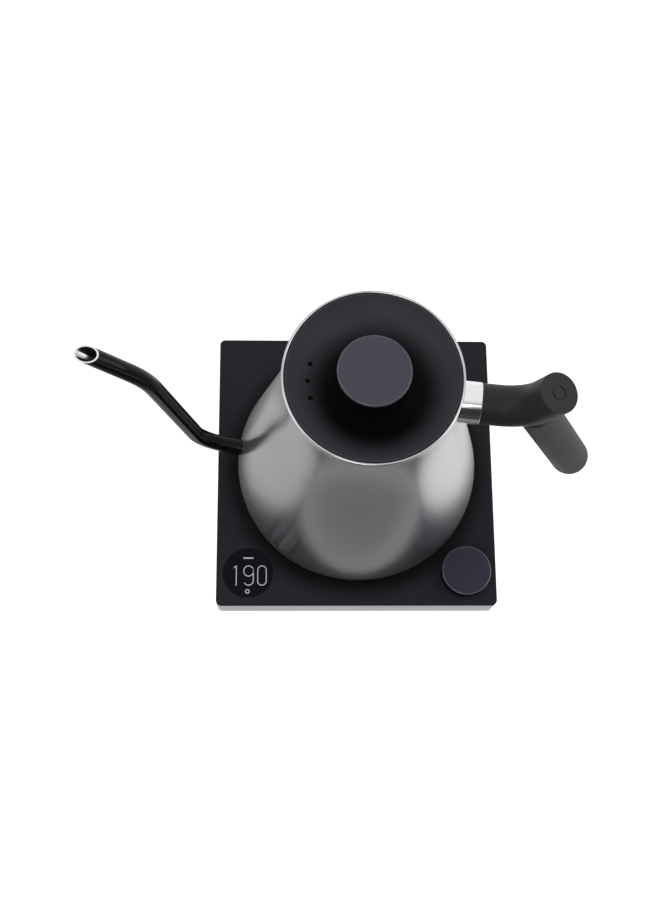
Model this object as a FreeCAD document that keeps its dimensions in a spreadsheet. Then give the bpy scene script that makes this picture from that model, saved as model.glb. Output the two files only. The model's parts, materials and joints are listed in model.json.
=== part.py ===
"""Gooseneck electric kettle on a square base: a parametric document of its separate pieces.

The frame is the centre of the base on the table: +Z up, -Y the side with the display and the
dial. The kettle's own pieces are drawn with the handle along +X and the spout along -X, and
kettle_turn then turns them on the base. Millimetres and degrees.
"""
import FreeCAD, Part
import math
import os
import re
import Sketcher

Vector = FreeCAD.Vector
doc = FreeCAD.newDocument("gooseneck_kettle")
sheet = doc.addObject("Spreadsheet::Sheet", "params")

SIZES = [
    # the square base
    ("base_width", 160.0, "side of the square base"),
    ("base_height", 25.0, "table to the top face"),
    ("base_corner", 3.0, "radius of the upright corners"),
    ("base_edge", 2.5, "radius of the band's lower edge"),
    ("top_thick", 3.0, "top plate"),
    ("top_chamfer", 0.5, "chamfer round the top plate"),
    ("band_wall", 2.0, "metal side band"),
    ("cover_thick", 2.0, "bottom cover"),
    ("foot_height", 1.2, "what the feet stand below the cover"),
    ("foot_recess", 0.8, "what the feet sit into the cover"),
    ("foot_radius", 8.0, "rubber foot"),
    ("foot_inset", 16.0, "foot centre from the base's sides"),
    ("pad_radius", 14.0, "rubber pad under the middle of the base"),
    ("seat_gap", 0.1, "clearance round a piece that sits in another"),
    ("thread_gap", 0.04, "clearance of a screw in its hole"),
    ("post_radius", 3.6, "screw posts under the top plate"),
    ("post_side_x", 70.0, "screw posts from the centre, X"),
    ("post_side_y", 36.0, "screw posts from the centre, Y"),
    ("screw_radius", 1.5, "base screws"),
    ("screw_head", 2.8, "base screw heads"),
    ("screw_head_tall", 1.4, "base screw heads"),
    ("screw_tip_gap", 0.2, "screw heads sunk in their seats"),
    ("case_screw_long", 13.0, "case screw holes in the posts"),
    ("board_screw_long", 3.5, "board screw holes in the posts"),
    ("plate_screw_long", 1.8, "hub and underside screws in the plates above them"),
    ("tip_room", 0.3, "hole beyond a screw's tip"),
    ("cover_lip", 0.6, "side band's lower edge above the cover's face"),
    # the connector in the middle of the base
    ("hub_radius", 15.8, "raised connector hub"),
    ("hub_height", 7.0, "hub above the top plate"),
    ("flange_wide", 8.2, "hub flange under the top plate, beyond the hub"),
    ("flange_thick", 3.0, "hub flange"),
    ("ring_inner", 6.5, "inner contact ring"),
    ("ring_outer", 11.0, "outer contact ring"),
    ("ring_wall", 1.0, "contact rings"),
    ("ring_deep", 4.0, "contact rings in the hub"),
    ("ring_sunk", 0.5, "contacts below the hub's face"),
    ("pin_radius", 1.8, "centre contact pin"),
    ("hub_screw_out", 4.2, "hub screws beyond the hub"),
    ("hub_screw_turn", 90.0, "direction of the first hub screw"),
    # the display and the dial
    ("front_inset", 18.5, "display and dial centres from the front"),
    ("side_inset", 18.0, "display and dial centres from the sides"),
    ("lens_radius", 14.2, "display lens"),
    ("lens_thick", 1.6, "display lens"),
    ("window_radius", 12.5, "opening under the lens"),
    ("display_side", 15.0, "display module"),
    ("board_thick", 1.6, "circuit boards"),
    ("board_drop", 5.0, "top plate down to the control board"),
    ("board_deep", 23.0, "control board, front to back"),
    ("board_margin", 6.0, "control board from the band"),
    ("board_post_x", 44.0, "control board screws from the centre"),
    ("buzzer_radius", 6.0, "buzzer"),
    ("buzzer_tall", 4.5, "buzzer"),
    ("dial_radius", 14.0, "dial knob"),
    ("dial_top", 8.2, "dial top above the top plate"),
    ("dial_gap", 1.2, "dial above the top plate at rest"),
    ("dial_chamfer", 0.7, "dial top edge"),
    ("press_travel", 0.8, "dial press"),
    ("dial_face", 1.5, "dial top above its bore"),
    ("dial_clear", 0.8, "dial recess round the nut"),
    ("shaft_radius", 3.0, "encoder shaft"),
    ("bush_radius", 4.2, "threaded bush of the encoder"),
    ("running_gap", 0.06, "clearance of a shaft in its bore"),
    ("nut_radius", 6.0, "encoder nut"),
    ("nut_thick", 1.6, "encoder nut"),
    ("encoder_side", 13.0, "encoder housing"),
    ("rotor_radius", 4.6, "encoder rotor"),
    ("rotor_thick", 1.4, "encoder rotor"),
    ("rotor_lift", 1.4, "rotor above the control board"),
    ("rotor_gap", 0.2, "clearance above and below moving dial pieces"),
    ("shaft_floor", 0.3, "housing floor under the shaft"),
    ("bush_past", 0.4, "bush above the nut"),
    # the power side
    ("power_width", 72.0, "power board"),
    ("power_deep", 40.0, "power board"),
    ("power_y", 48.0, "power board centre"),
    ("power_x", 16.0, "power board centre"),
    ("standoff_tall", 3.0, "standoffs under the power board"),
    ("transformer_wide", 24.0, "transformer"),
    ("transformer_deep", 20.0, "transformer"),
    ("transformer_tall", 13.0, "transformer"),
    ("relay_wide", 16.0, "relay"),
    ("relay_deep", 20.0, "relay"),
    ("relay_tall", 12.0, "relay"),
    ("capacitor_radius", 5.0, "capacitor"),
    ("capacitor_tall", 11.0, "capacitor"),
    ("gland_radius", 5.6, "cord gland in the band"),
    ("gland_bore", 3.6, "cord hole"),
    ("gland_flange", 7.6, "gland flange"),
    ("gland_x", -30.0, "gland from the centre"),
    ("gland_z", 12.5, "gland above the table"),
    ("gland_long", 12.0, "gland along the cord"),
    ("gland_lip", 1.5, "gland flange behind the band"),
    ("switch_x", 62.0, "hold switch from the centre"),
    ("switch_travel", 3.0, "hold switch travel"),
    ("slider_wide", 3.5, "hold switch slider"),
    ("slider_tall", 3.0, "hold switch slider"),
    ("slider_out", 1.2, "slider beyond the band"),
    ("switch_wide", 13.0, "hold switch housing"),
    ("switch_deep", 7.0, "hold switch housing"),
    ("switch_tall", 7.0, "hold switch housing"),
    ("slider_in", 4.9, "slider inside the housing"),
    # the vessel
    ("kettle_turn", -6.0, "handle direction on the base, about +Z"),
    ("rest_gap", 0.1, "rest ring above the top plate"),
    ("rest_ring_tall", 0.5, "rest ring below the vessel's bottom"),
    ("rim_height", 188.0, "table to the vessel's rim"),
    ("neck_radius", 43.1, "vessel neck, outside"),
    ("neck_straight", 5.0, "upright stretch under the rim"),
    ("shoulder_radius", 250.0, "hollow curve from the neck to the cone"),
    ("vessel_radius", 67.82, "widest, at the bottom corner"),
    ("corner_radius", 12.0, "bottom corner, outside"),
    ("wall_thick", 0.8, "vessel sheet"),
    ("bottom_lip", 3.82, "turned-in bottom, from the corner's centre inward"),
    ("bead_wide", 1.3, "rolled rim"),
    ("bead_tall", 2.0, "rolled rim"),
    ("floor_lift", 1.5, "vessel floor above the corner's centre"),
    ("floor_thick", 1.2, "vessel floor"),
    ("spreader_thick", 3.0, "aluminium spreader under the floor"),
    ("spreader_inner", 26.0, "spreader hole"),
    ("spreader_margin", 0.82, "spreader's edge in from the corner's centre"),
    ("element_circle", 41.0, "heating element ring"),
    ("element_radius", 3.1, "heating element tube"),
    ("element_sweep", 320.0, "heating element's arc"),
    ("element_start", 20.0, "direction of the element's first end"),
    ("terminal_turn", 2.0, "terminals in from the element's ends"),
    ("terminal_radius", 1.5, "heating element terminals"),
    ("terminal_tall", 5.6, "heating element terminals"),
    ("socket_radius", 22.5, "socket body"),
    ("socket_gap", 0.3, "clearance round the socket"),
    ("hub_gap", 0.7, "socket wall round the hub"),
    ("socket_roof", 1.5, "socket roof above the hub"),
    ("under_thick", 2.0, "underside cover"),
    ("rest_ring_inset", 13.0, "rest ring's inner edge from the bottom opening"),
    ("rest_ring_wide", 4.0, "rest ring under the kettle"),
    ("cover_overlap", 1.8, "cover over the vessel's turned-in bottom"),
    ("under_screw_inset", 3.5, "underside screws from the bottom opening"),
    ("under_screw_turn", 60.0, "direction of the first underside screw"),
    ("probe_radius", 2.5, "temperature probe"),
    ("probe_circle", 32.0, "probe and cut-out from the axis"),
    ("probe_turn", 140.0, "direction of the probe"),
    ("cutout_turn", 20.0, "direction of the thermal cut-out"),
    ("probe_tall", 12.0, "probe above the floor"),
    ("cutout_radius", 4.2, "thermal cut-out"),
    ("cutout_tall", 5.0, "thermal cut-out"),
    # the spout: a tube along three straight runs with rounded corners
    ("spout_radius", 4.5, "tube, outside"),
    ("spout_wall", 0.7, "tube"),
    ("spout_start", 64.0, "tube start from the axis"),
    ("spout_rise", 16.0, "first run from level"),
    ("spout_foot_x", 88.5, "lower corner from the axis"),
    ("spout_foot_z", 52.4, "lower corner above the table"),
    ("spout_foot_bend", 24.0, "lower bend radius"),
    ("spout_knee_x", 110.1, "upper corner from the axis"),
    ("spout_knee_z", 148.2, "upper corner above the table"),
    ("spout_knee_bend", 45.0, "upper bend radius"),
    ("spout_lean", 41.6, "last run from upright"),
    ("mouth_height", 177.0, "level cut of the mouth above the table"),
    # the handle
    ("arm_height", 165.0, "arm axis above the table"),
    ("arm_radius", 10.0, "arm and grip"),
    ("collar_radius", 10.2, "metal collar"),
    ("collar_long", 9.9, "metal collar, from the neck"),
    ("boss_radius", 5.5, "steel boss inside the arm"),
    ("boss_past", 6.2, "boss end beyond the arm's corner"),
    ("weld_gap", 0.05, "boss and collar from the vessel's wall"),
    ("arm_long", 32.7, "neck to the corner of the arm and the thumb rest"),
    ("elbow_bend", 21.0, "bend radius of the arm"),
    ("stub_lean", 21.0, "thumb rest axis from upright"),
    ("stub_long", 28.4, "corner to the face of the thumb rest"),
    ("grip_end_out", 34.8, "centre of the grip's round end beyond the arm's corner"),
    ("grip_drop", 69.4, "centre of the grip's round end below the arm's axis"),
    ("grip_top_out", 4.2, "where the grip's axis meets the arm's, beyond its corner"),
    ("blend_radius", 3.0, "fillet between the arm and the grip"),
    ("cap_thick", 1.5, "cap on the thumb rest"),
    ("mark_radius", 3.6, "plain ring cut in the cap"),
    ("mark_wide", 0.6, "plain ring cut in the cap"),
    ("mark_deep", 0.4, "plain ring cut in the cap"),
    ("bolt_radius", 2.0, "handle bolt"),
    ("bolt_head", 4.2, "handle bolt head"),
    ("bolt_head_tall", 3.5, "handle bolt head"),
    ("bolt_head_deep", 8.0, "bolt head below the thumb rest's face"),
    ("spigot_gap", 1.0, "cap's spigot above the bolt head"),
    ("bolt_past", 4.5, "bolt end beyond the boss axis"),
    ("weight_radius", 6.0, "counterweight in the grip"),
    ("weight_long", 42.0, "counterweight in the grip"),
    # the lid
    ("lid_gap", 0.3, "lid inside the rolled rim"),
    ("dish_margin", 1.5, "flat middle of the lid's dish round the knob"),
    ("dish_deep", 9.0, "lid dish below the rim"),
    ("lid_thick", 2.0, "lid shell"),
    ("lid_edge", 0.8, "flat edge round the lid"),
    ("skirt_wall", 3.0, "lid skirt"),
    ("skirt_deep", 15.0, "lid skirt below the rim"),
    ("seal_gap", 0.1, "seal inside the neck"),
    ("seal_tall", 3.0, "lid seal"),
    ("seal_deep", 2.0, "seal's groove in the skirt"),
    ("seal_drop", 9.5, "top of the seal below the rim"),
    ("knob_radius", 17.5, "lid knob"),
    ("knob_top", 8.0, "lid knob above the rim"),
    ("knob_chamfer", 0.8, "lid knob's top edge"),
    ("vent_radius", 1.25, "vent holes in the lid"),
    ("vent_inset", 11.0, "vent holes in from the lid's edge"),
    ("vent_step", 16.0, "angle between vent holes"),
    ("liner_thick", 0.8, "steel liner under the lid"),
    ("liner_tall", 7.0, "liner's upright rim"),
    ("liner_hole", 2.0, "steam holes in the liner"),
    ("lid_screw", 2.0, "screw in the lid knob"),
    ("lid_screw_head", 4.0, "head of the screw in the lid knob"),
    ("lid_screw_head_tall", 2.4, "head of the screw in the lid knob"),
]


def enter(row, alias, value, note):
    """Write one named value, or the formula for one, on a row of the sheet."""
    sheet.set(f"A{row}", alias)
    sheet.set(f"B{row}", str(value))
    sheet.set(f"C{row}", note)
    sheet.setAlias(f"B{row}", alias)


for size_row, size in enumerate(SIZES, 1):
    enter(size_row, *size)
doc.recompute()

NODES = []


def bound(text):
    """An expression with each size name pointed at its cell. Every size name holds an underscore."""
    return re.sub(r"\b([a-z]+(?:_[a-z]+)+)\b", r"params.\1", text)


def number(text):
    """The value of such an expression now."""
    return float(sheet.evalExpression(bound(text)))


def bind(obj, **properties):
    """Tie an object's properties to expressions."""
    for name, text in properties.items():
        obj.setExpression(name.replace("__", "."), bound(text))
    return obj


def keep(obj, label):
    """Make an object one of the document's exported sub-parts."""
    obj.Label = label
    NODES.append(obj)
    return obj


def turned_with_kettle(obj):
    """Turn a finished kettle piece on the base."""
    obj.Placement = FreeCAD.Placement(Vector(), FreeCAD.Rotation(Vector(0, 0, 1), 1))
    return bind(obj, Placement__Rotation__Angle="kettle_turn")


# ---------------------------------------------------------------- primitives and booleans

def place(obj, x="0", y="0", z="0", lean=None, axis=(0, 1, 0)):
    """Put an object's own origin at a point, turned by an angle about an axis."""
    turn = FreeCAD.Rotation(Vector(*axis), number(lean) if lean else 0)
    obj.Placement = FreeCAD.Placement(Vector(), turn)
    bind(obj, Placement__Base__x=x, Placement__Base__y=y, Placement__Base__z=z)
    if lean:
        bind(obj, Placement__Rotation__Angle=lean)
    return obj


def cylinder(radius, height, **where):
    """An upright cylinder, its lower face's centre at the point."""
    obj = doc.addObject("Part::Cylinder", "cylinder")
    return place(bind(obj, Radius=radius, Height=height), **where)


def block(wide, deep, tall, x="0", y="0", z="0"):
    """A box whose lower face is centred on the point."""
    obj = doc.addObject("Part::Box", "block")
    bind(obj, Length=wide, Width=deep, Height=tall)
    return place(obj, x=f"{x} - ({wide}) / 2", y=f"{y} - ({deep}) / 2", z=z)


def fuse(*parts):
    obj = doc.addObject("Part::MultiFuse", "fuse")
    obj.Shapes = list(parts)
    return obj


def cut(base, *tools):
    obj = doc.addObject("Part::Cut", "cut")
    obj.Base = base
    obj.Tool = tools[0] if len(tools) == 1 else fuse(*tools)
    return obj


def group(parts):
    """Separate solids of one sub-part, such as a set of screws."""
    obj = doc.addObject("Part::Compound", "group")
    obj.Links = list(parts)
    return obj


def tube(outer, inner, height, **where):
    """A plain ring."""
    return cut(cylinder(outer, height, **where), cylinder(inner, height, **where))


def on_circle(radius, angle):
    """The place at an angle on a circle round the Z axis."""
    return dict(x=f"{radius} * cos(({angle}) * 1 deg)", y=f"{radius} * sin(({angle}) * 1 deg)")


def round_places(radius, count, first="0"):
    """Places at equal steps round the Z axis."""
    spots = [on_circle(radius, f"{first} + {360 / count * i}") for i in range(count)]
    return [(spot["x"], spot["y"]) for spot in spots]


def corners(x, y):
    """The four places that mirror one another in X and Y."""
    return [(f"{i} * ({x})", f"{j} * ({y})") for i in (-1, 1) for j in (-1, 1)]


def screw(radius, length, head, head_tall, x, y, z, up=True):
    """A screw whose head's outer face is at z, with its shank upward or downward."""
    if up:
        shank = cylinder(radius, length, x=x, y=y, z=z)
        return fuse(cylinder(head, head_tall, x=x, y=y, z=z), shank)
    shank = cylinder(radius, length, x=x, y=y, z=f"{z} - ({length})")
    return fuse(cylinder(head, head_tall, x=x, y=y, z=f"{z} - ({head_tall})"), shank)


# ---------------------------------------------------------------- sketched bodies

def new_body(label):
    body = doc.addObject("PartDesign::Body", label)
    body.Label = label
    return body


def new_sketch(body, role, offset="0"):
    """A sketch on one of the body's own origin planes, moved off it along its normal."""
    plane = [f for f in body.Origin.OriginFeatures if f.Role == role][0]
    made = body.newObject("Sketcher::SketchObject", "outline")
    made.AttachmentSupport = [(plane, "")]
    made.MapMode = "FlatFace"
    return bind(made, AttachmentOffset__Base__z=offset)


def arc(start, end, radius):
    """The arc of a signed radius between two points, always stored anticlockwise."""
    chord = end - start
    side = Vector(-chord.y, chord.x, 0).normalize()
    reach = math.sqrt(radius ** 2 - (chord.Length / 2) ** 2)
    centre = start + chord / 2 + side * math.copysign(reach, radius)
    first, last = (start, end) if radius > 0 else (end, start)
    angles = [math.atan2(p.y - centre.y, p.x - centre.x) for p in (first, last)]
    circle = Part.Circle(centre, Vector(0, 0, 1), abs(radius))
    return Part.ArcOfCircle(circle, angles[0], angles[1])


def fix(sketch, kind, name, text, *ends):
    """A named dimension tied to an expression."""
    made = sketch.addConstraint(Sketcher.Constraint(kind, *ends, number(text)))
    sketch.renameConstraint(made, name)
    if re.search("[a-z]", text):
        sketch.setExpression(f"Constraints.{name}", bound(text))


def draw(sketch, points, closed=True):
    """Draw an outline. A point is (x, y) or (x, y, radius): the edge that leaves a point with a
    radius is an arc, which turns left for a positive radius and right for a negative one."""
    spots = [Vector(number(p[0]), number(p[1]), 0) for p in points]
    edges = len(spots) if closed else len(spots) - 1
    first_end = []
    for i in range(edges):
        start, end = spots[i], spots[(i + 1) % len(spots)]
        radius = number(points[i][2]) if len(points[i]) == 3 else 0
        sketch.addGeometry(arc(start, end, radius) if radius else Part.LineSegment(start, end), False)
        first_end.append(2 if radius < 0 else 1)
        if radius:
            fix(sketch, "Radius", f"bend{i}", f"abs({points[i][2]})", i)
    for i, point in enumerate(points):
        edge, end = (i, first_end[i]) if i < edges else (i - 1, 3 - first_end[i - 1])
        fix(sketch, "DistanceX", f"x{i}", point[0], -1, 1, edge, end)
        fix(sketch, "DistanceY", f"y{i}", point[1], -1, 1, edge, end)
    for i in range(edges if closed else edges - 1):
        after = (i + 1) % edges
        sketch.addConstraint(Sketcher.Constraint("Coincident", i, 3 - first_end[i],
                                                 after, first_end[after]))
    return sketch


def draw_circle(sketch, x, y, radius):
    circle = Part.Circle(Vector(number(x), number(y), 0), Vector(0, 0, 1), number(radius))
    edge = sketch.addGeometry(circle, False)
    fix(sketch, "Radius", f"radius{edge}", radius, edge)
    fix(sketch, "DistanceX", f"x{edge}", x, -1, 1, edge, 3)
    fix(sketch, "DistanceY", f"y{edge}", y, -1, 1, edge, 3)
    return sketch


def turned(label, points):
    """A body turned about Z from an outline of (radius, height) points."""
    body = new_body(label)
    sketch = draw(new_sketch(body, "XZ_Plane"), points)
    doc.recompute()
    spin = body.newObject("PartDesign::Revolution", "turned")
    spin.Profile = sketch
    spin.ReferenceAxis = (sketch, ["V_Axis"])
    spin.Angle = 360
    doc.recompute()
    return body


def padded(label, z, tall, wide, deep):
    """A body padded upward from a rectangle centred on Z."""
    body = new_body(label)
    x, y = f"({wide}) / 2", f"({deep}) / 2"
    sketch = draw(new_sketch(body, "XY_Plane", z),
                  [(f"-{x}", f"-{y}"), (x, f"-{y}"), (x, y), (f"-{x}", y)])
    pad = body.newObject("PartDesign::Pad", "pad")
    pad.Profile = sketch
    bind(pad, Length=tall)
    doc.recompute()
    return body


def padded_round(label, z, tall, radius):
    """A body padded upward from a circle on Z."""
    body = new_body(label)
    sketch = draw_circle(new_sketch(body, "XY_Plane", z), "0", "0", radius)
    pad = body.newObject("PartDesign::Pad", "pad")
    pad.Profile = sketch
    bind(pad, Length=tall)
    doc.recompute()
    return body


def pocket(body, z, depth, holes):
    """Cut round holes upward from height z: holes are (x, y, radius)."""
    before = body.Shape.Volume
    sketch = new_sketch(body, "XY_Plane", z)
    for hole in holes:
        draw_circle(sketch, *hole)
    made = body.newObject("PartDesign::Pocket", "holes")
    made.Profile = sketch
    made.Reversed = True
    bind(made, Length=depth)
    doc.recompute()
    if body.Shape.Volume >= before - 1e-6:
        raise RuntimeError(f"{body.Label}: the pocket at {z} cuts nothing")


def dress(body, kind, size, chosen):
    """Round or chamfer the edges of a body for which chosen(edge) is true."""
    tip = body.Tip
    names = [f"Edge{i}" for i, edge in enumerate(tip.Shape.Edges, 1) if chosen(edge)]
    made = body.newObject(f"PartDesign::{kind}", kind.lower())
    made.Base = (tip, names)
    bind(made, **{"Radius" if kind == "Fillet" else "Size": size})
    doc.recompute()
    return body


def upright(edge):
    box = edge.BoundBox
    return box.ZLength > 0.5 and box.XLength < 1e-6 and box.YLength < 1e-6


def level_at(z):
    """Chooses the edges that lie level at one height."""
    return lambda edge: abs(edge.BoundBox.ZMin - number(z)) < 1e-4 and edge.BoundBox.ZLength < 1e-4


# ---------------------------------------------------------------- heights that pieces share

PLATE_UNDER = "base_height - top_thick"
COVER_TOP = "foot_height + cover_thick"
BOARD_TOP = f"{PLATE_UNDER} - board_drop"
BOARD_UNDER = f"{BOARD_TOP} - board_thick"
POWER_UNDER = f"{COVER_TOP} + standoff_tall"
POWER_TOP = f"{POWER_UNDER} + board_thick"
HUB_TOP = "base_height + hub_height"
CONTROL_X = "(base_width / 2 - side_inset)"
CONTROL_Y = "(base_width / 2 - front_inset)"
INSIDE = "(base_width / 2 - band_wall)"
VESSEL_BOTTOM = "base_height + rest_gap + rest_ring_tall"
UNDER_LOW = f"{VESSEL_BOTTOM} + wall_thick"
UNDER_TOP = f"{UNDER_LOW} + under_thick"
CORNER_Z = f"({VESSEL_BOTTOM} + corner_radius)"
FLOOR_TOP = f"({CORNER_Z} + floor_lift)"
FLOOR_UNDER = f"({FLOOR_TOP} - floor_thick)"
SPREADER_UNDER = f"({FLOOR_UNDER} - spreader_thick)"
SHOULDER_TOP = "(rim_height - neck_straight)"
CORNER_R = "(vessel_radius - corner_radius)"
BOTTOM_OPENING = f"({CORNER_R} - bottom_lip)"
NECK_INSIDE = "(neck_radius - wall_thick)"
RISE = "tan(spout_rise * 1 deg)"
SPOUT_LOW_Z = f"(spout_foot_z - (spout_foot_x - spout_start) * {RISE})"
HUB_FLANGE = "(hub_radius + flange_wide)"
REST_RING = f"({BOTTOM_OPENING} - rest_ring_inset)"
PROBE = on_circle("probe_circle", "probe_turn")
ELBOW_X = "(neck_radius + arm_long)"
COLLAR_END = "(neck_radius + collar_long)"
BOSS_END = f"({ELBOW_X} + boss_past)"
LID_RADIUS = "(neck_radius - bead_wide - lid_gap)"
DISH_RADIUS = "(knob_radius + dish_margin)"
VENT_CIRCLE = f"({LID_RADIUS} - vent_inset)"
LID_FLAT = "(rim_height - dish_deep)"
LID_FLAT_UNDER = f"({LID_FLAT} - lid_thick)"
SKIRT_LOW = "(rim_height - skirt_deep)"
SKIRT_INSIDE = f"({LID_RADIUS} - skirt_wall)"

# The cone's wall touches the shoulder's arc and the bottom corner's arc, which curve opposite ways.
ACROSS = f"(neck_radius + shoulder_radius - {CORNER_R})"
UPWARD = f"({SHOULDER_TOP} - {CORNER_Z})"
CONE_ANGLE = (f"asin((shoulder_radius + corner_radius) / sqrt({ACROSS}^2 + {UPWARD}^2))"
              f" - atan2({ACROSS}; {UPWARD})")
enter(len(SIZES) + 1, "cone_angle", f"=({CONE_ANGLE}) / 1 deg", "cone wall from upright")
doc.recompute()
SIN = "sin(cone_angle * 1 deg)"
COS = "cos(cone_angle * 1 deg)"


def vessel_side(inset):
    """The vessel's wall from its bottom to the neck, moved inward by inset."""
    reach = f"(corner_radius - ({inset}))"
    bend = f"(shoulder_radius + {inset})"
    return [
        (CORNER_R, f"{CORNER_Z} - {reach}", reach),
        (f"{CORNER_R} + {reach} * {COS}", f"{CORNER_Z} + {reach} * {SIN}"),
        (f"neck_radius + shoulder_radius - {bend} * {COS}", f"{SHOULDER_TOP} - {bend} * {SIN}",
         f"-{bend}"),
        (f"neck_radius - ({inset})", SHOULDER_TOP),
    ]


def backward(points):
    """The same outline the other way round, its arcs' radii moved to their new starts."""
    turned_round = []
    for i in range(len(points) - 1, -1, -1):
        arc = points[i - 1][2:] if i else ()
        radius = tuple(text[1:] if text.startswith("-") else f"-{text}" for text in arc)
        turned_round.append(points[i][:2] + radius)
    return turned_round


# ---------------------------------------------------------------- base: case

FEET = corners("(base_width / 2 - foot_inset)", "(base_width / 2 - foot_inset)")
POSTS = corners("post_side_x", "post_side_y")
POWER_POSTS = [(f"power_x + {x}", f"power_y + {y}")
               for x, y in corners("(power_width / 2 - post_radius)", "(power_deep / 2 - post_radius)")]
BOARD_POSTS = [(x, f"board_deep / 2 - post_radius - {CONTROL_Y}")
               for x in ("-board_post_x", "board_post_x")]
HUB_SCREWS = round_places("(hub_radius + hub_screw_out)", 3, "hub_screw_turn")
UNDER_SCREWS = round_places(f"({BOTTOM_OPENING} - under_screw_inset)", 3, "under_screw_turn")


def make_top_plate():
    plate = padded("base_top_plate_body", PLATE_UNDER, "top_thick", "base_width", "base_width")
    dress(plate, "Fillet", "base_corner", upright)
    dress(plate, "Chamfer", "top_chamfer", level_at("base_height"))
    pocket(plate, PLATE_UNDER, "top_thick", [
        ("0", "0", "hub_radius + seat_gap"),
        (f"-{CONTROL_X}", f"-{CONTROL_Y}", "window_radius"),
        (CONTROL_X, f"-{CONTROL_Y}", "bush_radius + seat_gap"),
    ])
    pocket(plate, "base_height - lens_thick", "lens_thick",
           [(f"-{CONTROL_X}", f"-{CONTROL_Y}", "lens_radius + seat_gap")])
    case_posts = [cylinder("post_radius", f"{PLATE_UNDER} - ({COVER_TOP})", x=x, y=y, z=COVER_TOP)
                  for x, y in POSTS]
    board_posts = [cylinder("post_radius", "board_drop", x=x, y=y, z=BOARD_TOP)
                   for x, y in BOARD_POSTS]
    holes = [cylinder("screw_radius + thread_gap", "case_screw_long", x=x, y=y, z=COVER_TOP)
             for x, y in POSTS]
    holes += [cylinder("screw_radius + thread_gap", "board_screw_long", x=x, y=y, z=BOARD_TOP)
              for x, y in BOARD_POSTS]
    holes += [cylinder("screw_radius + thread_gap", "plate_screw_long + tip_room", x=x, y=y,
                       z=PLATE_UNDER)
              for x, y in HUB_SCREWS]
    return keep(cut(fuse(plate, *case_posts, *board_posts), *holes), "base_top_plate")


def make_side_band():
    tall = f"{PLATE_UNDER} - (foot_height + cover_lip)"
    low = "foot_height + cover_lip"
    band = padded("side_band_body", low, tall, "base_width", "base_width")
    dress(band, "Fillet", "base_corner", upright)
    dress(band, "Fillet", "base_edge", level_at(low))
    inner = block(f"2 * {INSIDE}", f"2 * {INSIDE}", tall, z=low)
    gland = cylinder("gland_radius + seat_gap", "4 * band_wall", x="gland_x",
                     y=f"{INSIDE} - band_wall", z="gland_z", lean="-90", axis=(1, 0, 0))
    slot = block("slider_wide + switch_travel + 2 * socket_gap", "4 * band_wall",
                 "slider_tall + 2 * socket_gap", x="switch_x", y=INSIDE,
                 z="gland_z - slider_tall / 2 - socket_gap")
    return keep(cut(band, inner, gland, slot), "base_side_band")


def make_bottom_cover():
    side = f"2 * ({INSIDE} - seat_gap)"
    cover = padded("bottom_cover_body", "foot_height", "cover_thick", side, side)
    pocket(cover, "foot_height", "foot_recess",
           [(x, y, "foot_radius + seat_gap") for x, y in FEET] + [("0", "0", "pad_radius + seat_gap")])
    pocket(cover, "foot_height", "screw_head_tall",
           [(x, y, "screw_head + seat_gap") for x, y in POSTS])
    pocket(cover, "foot_height", "cover_thick",
           [(x, y, "screw_radius + thread_gap") for x, y in POSTS])
    standoffs = [cylinder("post_radius", "standoff_tall", x=x, y=y, z=COVER_TOP)
                 for x, y in POWER_POSTS]
    holes = [cylinder("screw_radius + thread_gap", "standoff_tall", x=x, y=y, z=COVER_TOP)
             for x, y in POWER_POSTS]
    return keep(cut(fuse(cover, *standoffs), *holes), "base_bottom_cover")


def make_feet_and_case_screws():
    feet = [cylinder("foot_radius", "foot_height + foot_recess", x=x, y=y) for x, y in FEET]
    feet.append(cylinder("pad_radius", "foot_height + foot_recess"))
    keep(group(feet), "rubber_feet")
    long = "cover_thick + case_screw_long - screw_tip_gap"
    screws = [screw("screw_radius", long, "screw_head", "screw_head_tall - screw_tip_gap", x, y,
                    "foot_height + screw_tip_gap") for x, y in POSTS]
    keep(group(screws), "base_screws")


# ---------------------------------------------------------------- base: connector

def make_connector():
    low = f"{PLATE_UNDER} - flange_thick"
    hub = fuse(cylinder(HUB_FLANGE, "flange_thick", z=low),
               cylinder("hub_radius", f"{HUB_TOP} - ({low})", z=low))
    grooves = [tube(f"{ring} + seat_gap", f"{ring} - ring_wall - seat_gap", "ring_deep",
                    z=f"{HUB_TOP} - ring_deep") for ring in ("ring_inner", "ring_outer")]
    pin_hole = cylinder("pin_radius + seat_gap", f"{HUB_TOP} - ({low})", z=low)
    holes = [cylinder("screw_radius + thread_gap", "flange_thick", x=x, y=y, z=low)
             for x, y in HUB_SCREWS]
    keep(cut(hub, *grooves, pin_hole, *holes), "connector_hub")
    rings = [tube(ring, f"{ring} - ring_wall", "ring_deep - ring_sunk", z=f"{HUB_TOP} - ring_deep")
             for ring in ("ring_inner", "ring_outer")]
    keep(group(rings), "connector_contact_rings")
    keep(cylinder("pin_radius", f"{HUB_TOP} - ({low}) - ring_sunk", z=low), "connector_pin")
    screws = [screw("screw_radius", "screw_head_tall + flange_thick + plate_screw_long", "screw_head",
                    "screw_head_tall", x, y, f"{low} - screw_head_tall") for x, y in HUB_SCREWS]
    keep(group(screws), "connector_screws")


# ---------------------------------------------------------------- base: display, dial, boards

def make_display():
    at_display = dict(x=f"-{CONTROL_X}", y=f"-{CONTROL_Y}")
    keep(cylinder("lens_radius", "lens_thick", z="base_height - lens_thick", **at_display),
         "display_lens")
    keep(block("display_side", "display_side", f"base_height - lens_thick - seat_gap - ({BOARD_TOP})",
               z=BOARD_TOP, **at_display), "display_module")


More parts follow.
